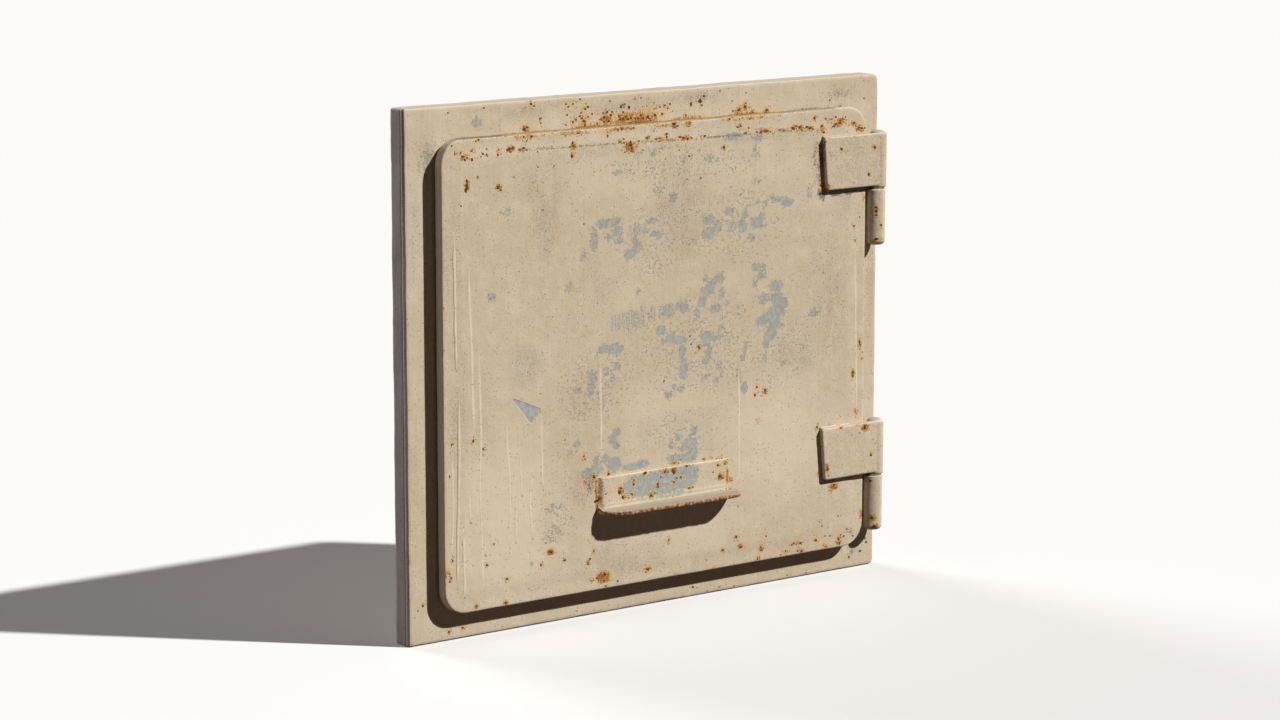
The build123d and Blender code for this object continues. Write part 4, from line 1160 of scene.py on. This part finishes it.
knuckle_lo, knuckle_hi = knuckle_boxes["upper"]
HINGE_X = (knuckle_lo.x + knuckle_hi.x) / 2
HINGE_DEPTH = -(knuckle_lo.y + knuckle_hi.y) / 2
BARREL_RADIUS = (knuckle_hi.x - knuckle_lo.x) / 2
OVAL_LEFT = {"upper": 12.4 * MM, "lower": 12.6 * MM}  # thick paint widens a barrel towards the door
OVAL_RIGHT = 8.9 * MM
OUTWARDS = Vector((0, -1, 0))


def inset_in(box_lo, box_hi, x, z):
    return min(x - box_lo[0], box_hi[0] - x, z - box_lo[-1], box_hi[-1] - z)


def on_door(x, z):
    """The door's surface at x and z, and its normal, or None off the door or under a fitting."""
    inset = inset_in(DOOR_LO, DOOR_HI, x, z)
    for lo, hi in list(leaf_boxes.values()) + [(handle_lo, handle_hi)]:
        if inset_in(lo, hi, x, z) > -0.5 * MM:
            return None
    for corner_x in (DOOR_LO[0] + DOOR_RADIUS, DOOR_HI[0] - DOOR_RADIUS):
        for corner_z in (DOOR_LO[1] + DOOR_RADIUS, DOOR_HI[1] - DOOR_RADIUS):
            beyond_x = (x - corner_x) * (1 if corner_x > DOOR_MID[0] else -1)
            beyond_z = (z - corner_z) * (1 if corner_z > DOOR_MID[1] else -1)
            if beyond_x > 0 and beyond_z > 0:
                inset = min(inset, DOOR_RADIUS - math.hypot(beyond_x, beyond_z))
    if inset < 2.2 * MM:
        return None
    rise = 0.5 * float(smoothly(inset / MM, *FIELD_SLOPE))
    bend = dent(x, z) if inset > 24 * MM else 0.0
    return Vector((x, -(36.5 * MM + rise * MM + bend), z)), OUTWARDS


def on_frame(x, z):
    if inset_in(FRAME_LO, FRAME_HI, x, z) < 2.5 * MM:
        return None
    return Vector((x, -FRAME_FACE, z)), OUTWARDS


def on_leaf(x, z):
    for lo, hi in leaf_boxes.values():
        if inset_in(lo, hi, x, z) > 2.5 * MM:
            return Vector((x, -LEAF_FRONT, z)), OUTWARDS
    return None


def on_barrel(x, z):
    level = "upper" if z > DOOR_MID[1] else "lower"
    across = (x - HINGE_X) / (OVAL_LEFT[level] if x < HINGE_X else OVAL_RIGHT)
    lo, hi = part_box(f"frame_knuckle_{level}")
    if abs(across) > 0.8 or not lo[2] + 3 * MM < z < hi[2] - 2 * MM:
        return None
    forward = math.sqrt(1 - across * across)
    normal = Vector((across * 0.7, -forward, 0)).normalized()
    return Vector((x, -HINGE_DEPTH - forward * BARREL_RADIUS, z)), normal


def on_flange(x, z):
    flange_lo = (handle_lo[0] + 1 * MM, handle_lo[2] + 8 * MM)
    flange_hi = (85.5 * MM - 1 * MM, handle_hi[2] - 1 * MM)
    if inset_in(flange_lo, flange_hi, x, z) < 0:
        return None
    return Vector((x, -HANDLE_FRONT, z)), OUTWARDS


SCAB_SIDES = 11
SCAB_TALL = 0.14 * MM


def grains_of(scab):
    """A scab and the few crumbs round it: x, z and reach along each."""
    x, z, half_width, half_height, _ = scab
    grains = [(x, z, half_width, half_height)]
    for _ in range(rng.choice((0, 1, 1, 2))):
        turn, far = rng.uniform(0, math.tau), rng.uniform(1.6, 3.6)
        crumb = rng.uniform(0.28, 0.5) * MM
        across, up = far * half_width * math.cos(turn), far * half_height * math.sin(turn)
        grains.append((x + across, z + up, crumb, crumb))
    return grains


def add_dome(work, place, normal, reach_x, reach_z):
    """Add a low closed dome sunk in the surface. Returns how dark each of its vertices is."""
    right = normal.cross(Vector((0, 0, 1))).normalized()
    above = right.cross(normal)
    top = work.verts.new(place + normal * SCAB_TALL)
    low = work.verts.new(place - normal * 0.25 * MM)
    core, rim, mid = [1.0, 0.0], [], []
    for i in range(SCAB_SIDES):
        angle = math.tau * i / SCAB_SIDES
        way = right * math.cos(angle) * reach_x + above * math.sin(angle) * reach_z
        way *= rng.uniform(0.75, 1.30)
        rim.append(work.verts.new(place + way * 1.15 - normal * 0.05 * MM))
        mid.append(work.verts.new(place + way * 0.72 + normal * SCAB_TALL * 0.8))
        core += [0.0, 0.85]
    for i in range(SCAB_SIDES):
        j = (i + 1) % SCAB_SIDES
        work.faces.new((top, mid[i], mid[j]))
        work.faces.new((mid[i], rim[i], rim[j], mid[j]))
        work.faces.new((low, rim[j], rim[i]))
    return core


def crust(name, scabs, surface, body):
    """Scabs of rust as low domes on the surface, with a few crumbs round each."""
    work = bmesh.new()
    core = []
    for scab in scabs:
        for x, z, reach_x, reach_z in grains_of(scab):
            found = surface(x, z)
            if found is not None:
                core += add_dome(work, *found, reach_x, reach_z)
    bmesh.ops.recalc_face_normals(work, faces=work.faces)
    mesh = mesh_of(work, name)
    carry(mesh, "core", core)
    piece_of(name, mesh, RUST, body)


RUN_SECTION = 9  # points across a run's front
RUN_STEP = 2 * MM


def course_of(pixels):
    """Close points down the course of a run, from its pixels."""
    course = [Vector(on_plane(u, v, DOOR_FIELD)) for u, v in pixels]
    points = []
    for a, b in zip(course, course[1:]):
        count = max(2, int((b - a).length / RUN_STEP))
        points += [a.lerp(b, i / count) for i in range(count)]
    return points + [course[-1]]


def add_section(work, place, half, tall, taper):
    """Add one cross-section of a run. Returns its vertices and how pale each is: paler paint, strongest on
    the crest as a painted highlight.
    """
    row, pale = [], []
    for k in range(RUN_SECTION):
        side = 2 * k / (RUN_SECTION - 1) - 1
        arch = math.cos(side * math.pi / 2) ** 2
        lift = tall * arch - 0.08 * MM * side ** 4
        row.append(work.verts.new(place + Vector((side * half, -lift, 0))))
        pale.append(0.75 * arch * taper)
    for side in (0.7, -0.7):
        row.append(work.verts.new(place + Vector((side * half, 0.4 * MM, 0))))
        pale.append(0.0)
    return row, pale


def add_run(work, number, points):
    """Add one run, which swells, sways and tapers at both ends. Returns how pale each vertex is."""
    rows, pale = [], []
    for i, point in enumerate(points):
        t = i / (len(points) - 1)
        taper = min(1.0, t * 6) * min(1.0, (1 - t) * 9)
        swell = 0.8 + 0.5 * noise.noise(Vector((number * 3.1, t * 8, 0)))
        half = (1.3 + 1.1 * swell) * MM * (0.4 + 0.6 * taper)
        sway = noise.noise(Vector((number * 7.7, t * 5, 3))) * 0.6 * MM
        found = on_door(point.x + sway, point.y)
        if found is not None:
            row, row_pale = add_section(work, found[0], half, 0.10 * swell * MM * taper, taper)
            rows.append(row)
            pale += row_pale
    for first, second in zip(rows, rows[1:]):
        for k in range(len(first)):
            j = (k + 1) % len(first)
            work.faces.new((first[k], first[j], second[j], second[k]))
    work.faces.new(rows[0])
    work.faces.new(rows[-1])
    return pale


def paint_runs():
    """Soft ridges where thick paint ran down the door and dried, pale paint with a painted highlight along
    each crest.
    """
    work = bmesh.new()
    pale = []
    for number, pixels in enumerate(PAINT_RUNS):
        pale += add_run(work, number, course_of(pixels))
    bmesh.ops.recalc_face_normals(work, faces=work.faces)
    mesh = mesh_of(work, "paint_runs")
    carry(mesh, "run", pale)
    piece_of("paint_runs", mesh, DOOR_PAINT, "door")


FREE_RADIUS, HINGE_RADIUS = 22.5 * MM, 14 * MM
LONGER = 10.5 * MM  # by which the worn free corner is longer than it is deep


def corner_shift(x, depth):
    """How far the ledge's free corner is worn back along X, at this x and distance from the wall."""
    t = np.clip((depth - (-handle_lo[1] - FREE_RADIUS)) / FREE_RADIUS, 0, 1)
    fade = 1 - smoothly(x - handle_lo[0], 28 * MM, 70 * MM)
    return LONGER * (1 - np.sqrt(1 - t * t)) * fade


BEND = 8 * MM  # radius of the paint in the bend between flange and ledge
LEDGE_TOP = handle_lo[2] + 4 * MM


def ledge_rim(points):
    """Rust along the ledge's free edge, where the paint is knocked off."""
    from_free = points[:, 0] - handle_lo[0] - corner_shift(points[:, 0], -points[:, 1])
    from_hinge = handle_hi[0] - points[:, 0]
    from_front = points[:, 1] - handle_lo[1]
    inset = np.minimum(np.minimum(from_free, from_hinge), from_front)
    for from_end, radius in ((from_free, FREE_RADIUS), (from_hinge, HINGE_RADIUS)):
        corner = (from_end < radius) & (from_front < radius)
        curved = radius - np.hypot(radius - from_end, radius - from_front)
        inset = np.where(corner, np.minimum(inset, curved), inset)
    low = points[:, 2] < handle_lo[2] + 4.6 * MM
    forward = (points[:, 1] < -46 * MM) | (points[:, 0] > 86 * MM)
    return 0.85 * (1 - smoothly(inset, 0.3 * MM, 3.2 * MM)) * low * forward


def chip_ledge(vertex, normal):
    """Knock small chips out of the ledge's rim."""
    place = vertex.co
    if place.y < -50 * MM and place.z < handle_lo[2] + 5 * MM:
        chips = noise.noise(place * 260)
        if abs(normal.z) < 0.9 and chips > 0.05:
            vertex.co = place - Vector((normal.x, normal.y, 0)) * min(0.7, chips * 1.6) * MM


def rounded_handle(place):
    """Round the inner bend between flange and ledge, and slope the flange's free end to the door."""
    x, y, z = place
    height, reach = z - LEDGE_TOP, -y - HANDLE_FRONT
    corner = BEND * (1 - math.sqrt(0.5))
    if -0.6 * MM < reach < 0.6 * MM and -0.3 * MM < height < BEND:
        height = corner + max(0.0, height) * (BEND - corner) / BEND
        reach = BEND - math.sqrt(BEND ** 2 - (BEND - height) ** 2)
    elif -0.6 * MM < height < 0.6 * MM and -0.3 * MM < reach < BEND:
        reach = corner + max(0.0, reach) * (BEND - corner) / BEND
        height = BEND - math.sqrt(BEND ** 2 - (BEND - reach) ** 2)
    if height > 2 * MM:
        slope = smoothly(x - handle_lo[0], 0.0, 5 * MM)
        reach = min(reach, 2.6 * MM * (slope - 1) + max(0.0, reach))
    depth = reach + HANDLE_FRONT
    return Vector((x + float(corner_shift(x, depth)), -depth, LEDGE_TOP + height))


def flange_ends(points):
    """Rust and dirt on the welds at the ends of the handle's flange."""
    free = 1 - smoothly(points[:, 0], handle_lo[0] + 0.5 * MM, handle_lo[0] + 5 * MM)
    hinge = smoothly(points[:, 0], 82 * MM, 85.5 * MM) * (points[:, 2] > handle_lo[2] + 8 * MM)
    return 0.75 * free + 0.85 * hinge * (0.4 + uneven(points, 500, 2.0))


def flange_dirt(points):
    """Dirt on the flange, thickest at its free end."""
    from_free = points[:, 0] - handle_lo[0]
    return 0.6 * (1 - smoothly(from_free, 4 * MM, 19 * MM)) * (points[:, 1] > -46 * MM)


def leaf_dirt(level):
    """Dirt in the corner where the leaf stands on the door, worst on the upper hinge."""
    lo, hi = leaf_boxes[level]
    strength = 0.95 if level == "upper" else 0.7

    def dirt(points):
        from_free = points[:, 0] - lo[0]
        return strength * (1 - smoothly(from_free, 0.4 * MM, 5 * MM))

    return dirt


def leaf_film(level):
    """A thin even film of grey, stronger on the upper hinge."""
    strength = 0.40 if level == "upper" else 0.10

    def film(points):
        return np.full(len(points), strength)

    return film


def oval_barrel(place):
    """Widen the round knuckle, where it isn't against the frame's face."""
    across = place.x - HINGE_X
    forward = -place.y - HINGE_DEPTH
    if forward < -7.5 * MM:
        return place
    level = "upper" if place.z > DOOR_MID[1] else "lower"
    half = OVAL_LEFT[level] if across < 0 else OVAL_RIGHT
    return Vector((HINGE_X + across * half / BARREL_RADIUS, place.y, place.z))


def squared_knuckle(place):
    """Bring the front of the door's knuckle flush with the leaf, with a rounded far corner."""
    across = place.x - HINGE_X
    forward = -place.y - HINGE_DEPTH
    if across < 0 or forward < 0:
        return place
    reach = math.hypot(across, forward)
    if reach < 6 * MM:
        return place
    angle = math.atan2(forward, across)
    power = 3.0
    wanted = (abs(math.cos(angle)) ** power + abs(math.sin(angle)) ** power) ** (-1 / power)
    scale = 1 + (wanted - 1) * smoothly(reach, 6 * MM, 8 * MM)
    return Vector((HINGE_X + across * scale, -HINGE_DEPTH - forward * scale, place.z))


def make_fittings():
    """The handle, the hinge leaves and the knuckles on the frame, with softened, lumpy paint."""
    handle_marks = marks_on(RUST_ON_HANDLE, HANDLE_FRONT)
    weathered_copy(
        "handle_bar",
        ["handle_angle", "handle_weld_free", "handle_weld_hinge"],
        HANDLE_PAINT,
        "door",
        "handle_paint",
        rounded_handle,
        chip_ledge,
        stain=[handle_marks, flange_ends],
        blue=[marks_on(BLUE_ON_HANDLE, HANDLE_FRONT)],
        grime=[flange_dirt],
        rim=[ledge_rim],
    )
    hinge_marks = marks_on(RUST_ON_HINGES, LEAF_FRONT)
    for level in leaf_boxes:
        weathered_copy(
            f"leaf_{level}",
            [f"hinge_leaf_{level}", f"leaf_weld_{level}", f"door_knuckle_{level}"],
            HINGE_PAINT,
            "door",
            "hinge_paint",
            squared_knuckle,
            stain=[hinge_marks],
            veil=[leaf_film(level)],
            grime=[leaf_dirt(level)],
        )
        weathered_copy(
            f"barrel_{level}",
            [f"frame_knuckle_{level}", f"barrel_weld_{level}"],
            HINGE_PAINT,
            "frame",
            "hinge_paint",
            oval_barrel,
            stain=[hinge_marks],
            grime=[marks_on(GRIME_ON_BARRELS, LEAF_FRONT)],
        )
    hinge_scabs = marks_on(SCABS_ON_HINGES, LEAF_FRONT)
    crust("handle_rust", marks_on(SCABS_ON_HANDLE, HANDLE_FRONT), on_flange, "door")
    crust("leaf_rust", hinge_scabs, on_leaf, "door")
    crust("barrel_rust", hinge_scabs, on_barrel, "frame")


make_face()
make_edges()
make_pan()
make_fittings()
crust("door_rust", marks_on(SCABS_ON_DOOR, DOOR_FIELD), on_door, "door")
crust("frame_rust", marks_on(SCABS_ON_FRAME, FRAME_FACE), on_frame, "frame")
paint_runs()

# Floor and light
FLOOR_Z = cad_box[0].z
FLOOR_REACH = 12.0


def make_floor():
    """A plain pale floor that keeps the shadow but throws little light back on the object."""
    g = Graph("floor")
    path = g.tree.nodes.new("ShaderNodeLightPath")
    seen = g.most(
        path.outputs["Is Camera Ray"],
        path.outputs["Is Glossy Ray"],
        path.outputs["Is Transmission Ray"],
    )
    colour = g.mix(seen, (0.050, 0.030, 0.027, 1), (0.66, 0.66, 0.65, 1))
    g.finish(colour, 0.9, specular=0.0)
    mesh = bpy.data.meshes.new("floor")
    corners = [(-1, -1), (1, -1), (1, 1), (-1, 1)]
    mesh.from_pydata([(x * FLOOR_REACH, y * FLOOR_REACH, FLOOR_Z) for x, y in corners], [], [(0, 1, 2, 3)])
    mesh.materials.append(g.material)
    floor = bpy.data.objects.new("floor", mesh)
    bpy.context.scene.collection.objects.link(floor)


def make_sun(name, towards, strength, angle, colour):
    data = bpy.data.lights.new(name, "SUN")
    data.energy = strength
    data.angle = math.radians(angle)
    data.color = colour
    lamp = bpy.data.objects.new(name, data)
    bpy.context.scene.collection.objects.link(lamp)
    lamp.rotation_euler = Vector(towards).to_track_quat("Z", "Y").to_euler()


def make_light():
    """A key light from the upper right, a weak fill from the left and one from behind."""
    make_sun("key", (0.96, -1.0, 1.23), 5.64, 1.6, (1.0, 0.993, 0.982))
    make_sun("fill", (-1.0, 0.0, 0.10), 0.47, 30, (0.93, 0.98, 1.0))
    make_sun("back", (-0.15, 1.0, 0.40), 2.0, 30, (1.0, 1.0, 1.0))
    world = bpy.data.worlds.new("world")
    bpy.context.scene.world = world
    world.use_nodes = True
    tree = world.node_tree
    path = tree.nodes.new("ShaderNodeLightPath")
    seen = path.outputs["Is Camera Ray"]
    for kind in ("Is Glossy Ray", "Is Transmission Ray"):
        either = tree.nodes.new("ShaderNodeMath")
        either.operation = "MAXIMUM"
        tree.links.new(seen, either.inputs[0])
        tree.links.new(path.outputs[kind], either.inputs[1])
        seen = either.outputs[0]
    mixer = tree.nodes.new("ShaderNodeMix")
    mixer.data_type = "RGBA"
    mixer.inputs[6].default_value = (0.038, 0.019, 0.017, 1)
    mixer.inputs[7].default_value = (0.80, 0.80, 0.79, 1)
    tree.links.new(seen, mixer.inputs[0])
    tree.links.new(mixer.outputs[2], tree.nodes["Background"].inputs["Color"])


make_floor()
make_light()
bpy.context.scene.view_settings.view_transform = "Standard"
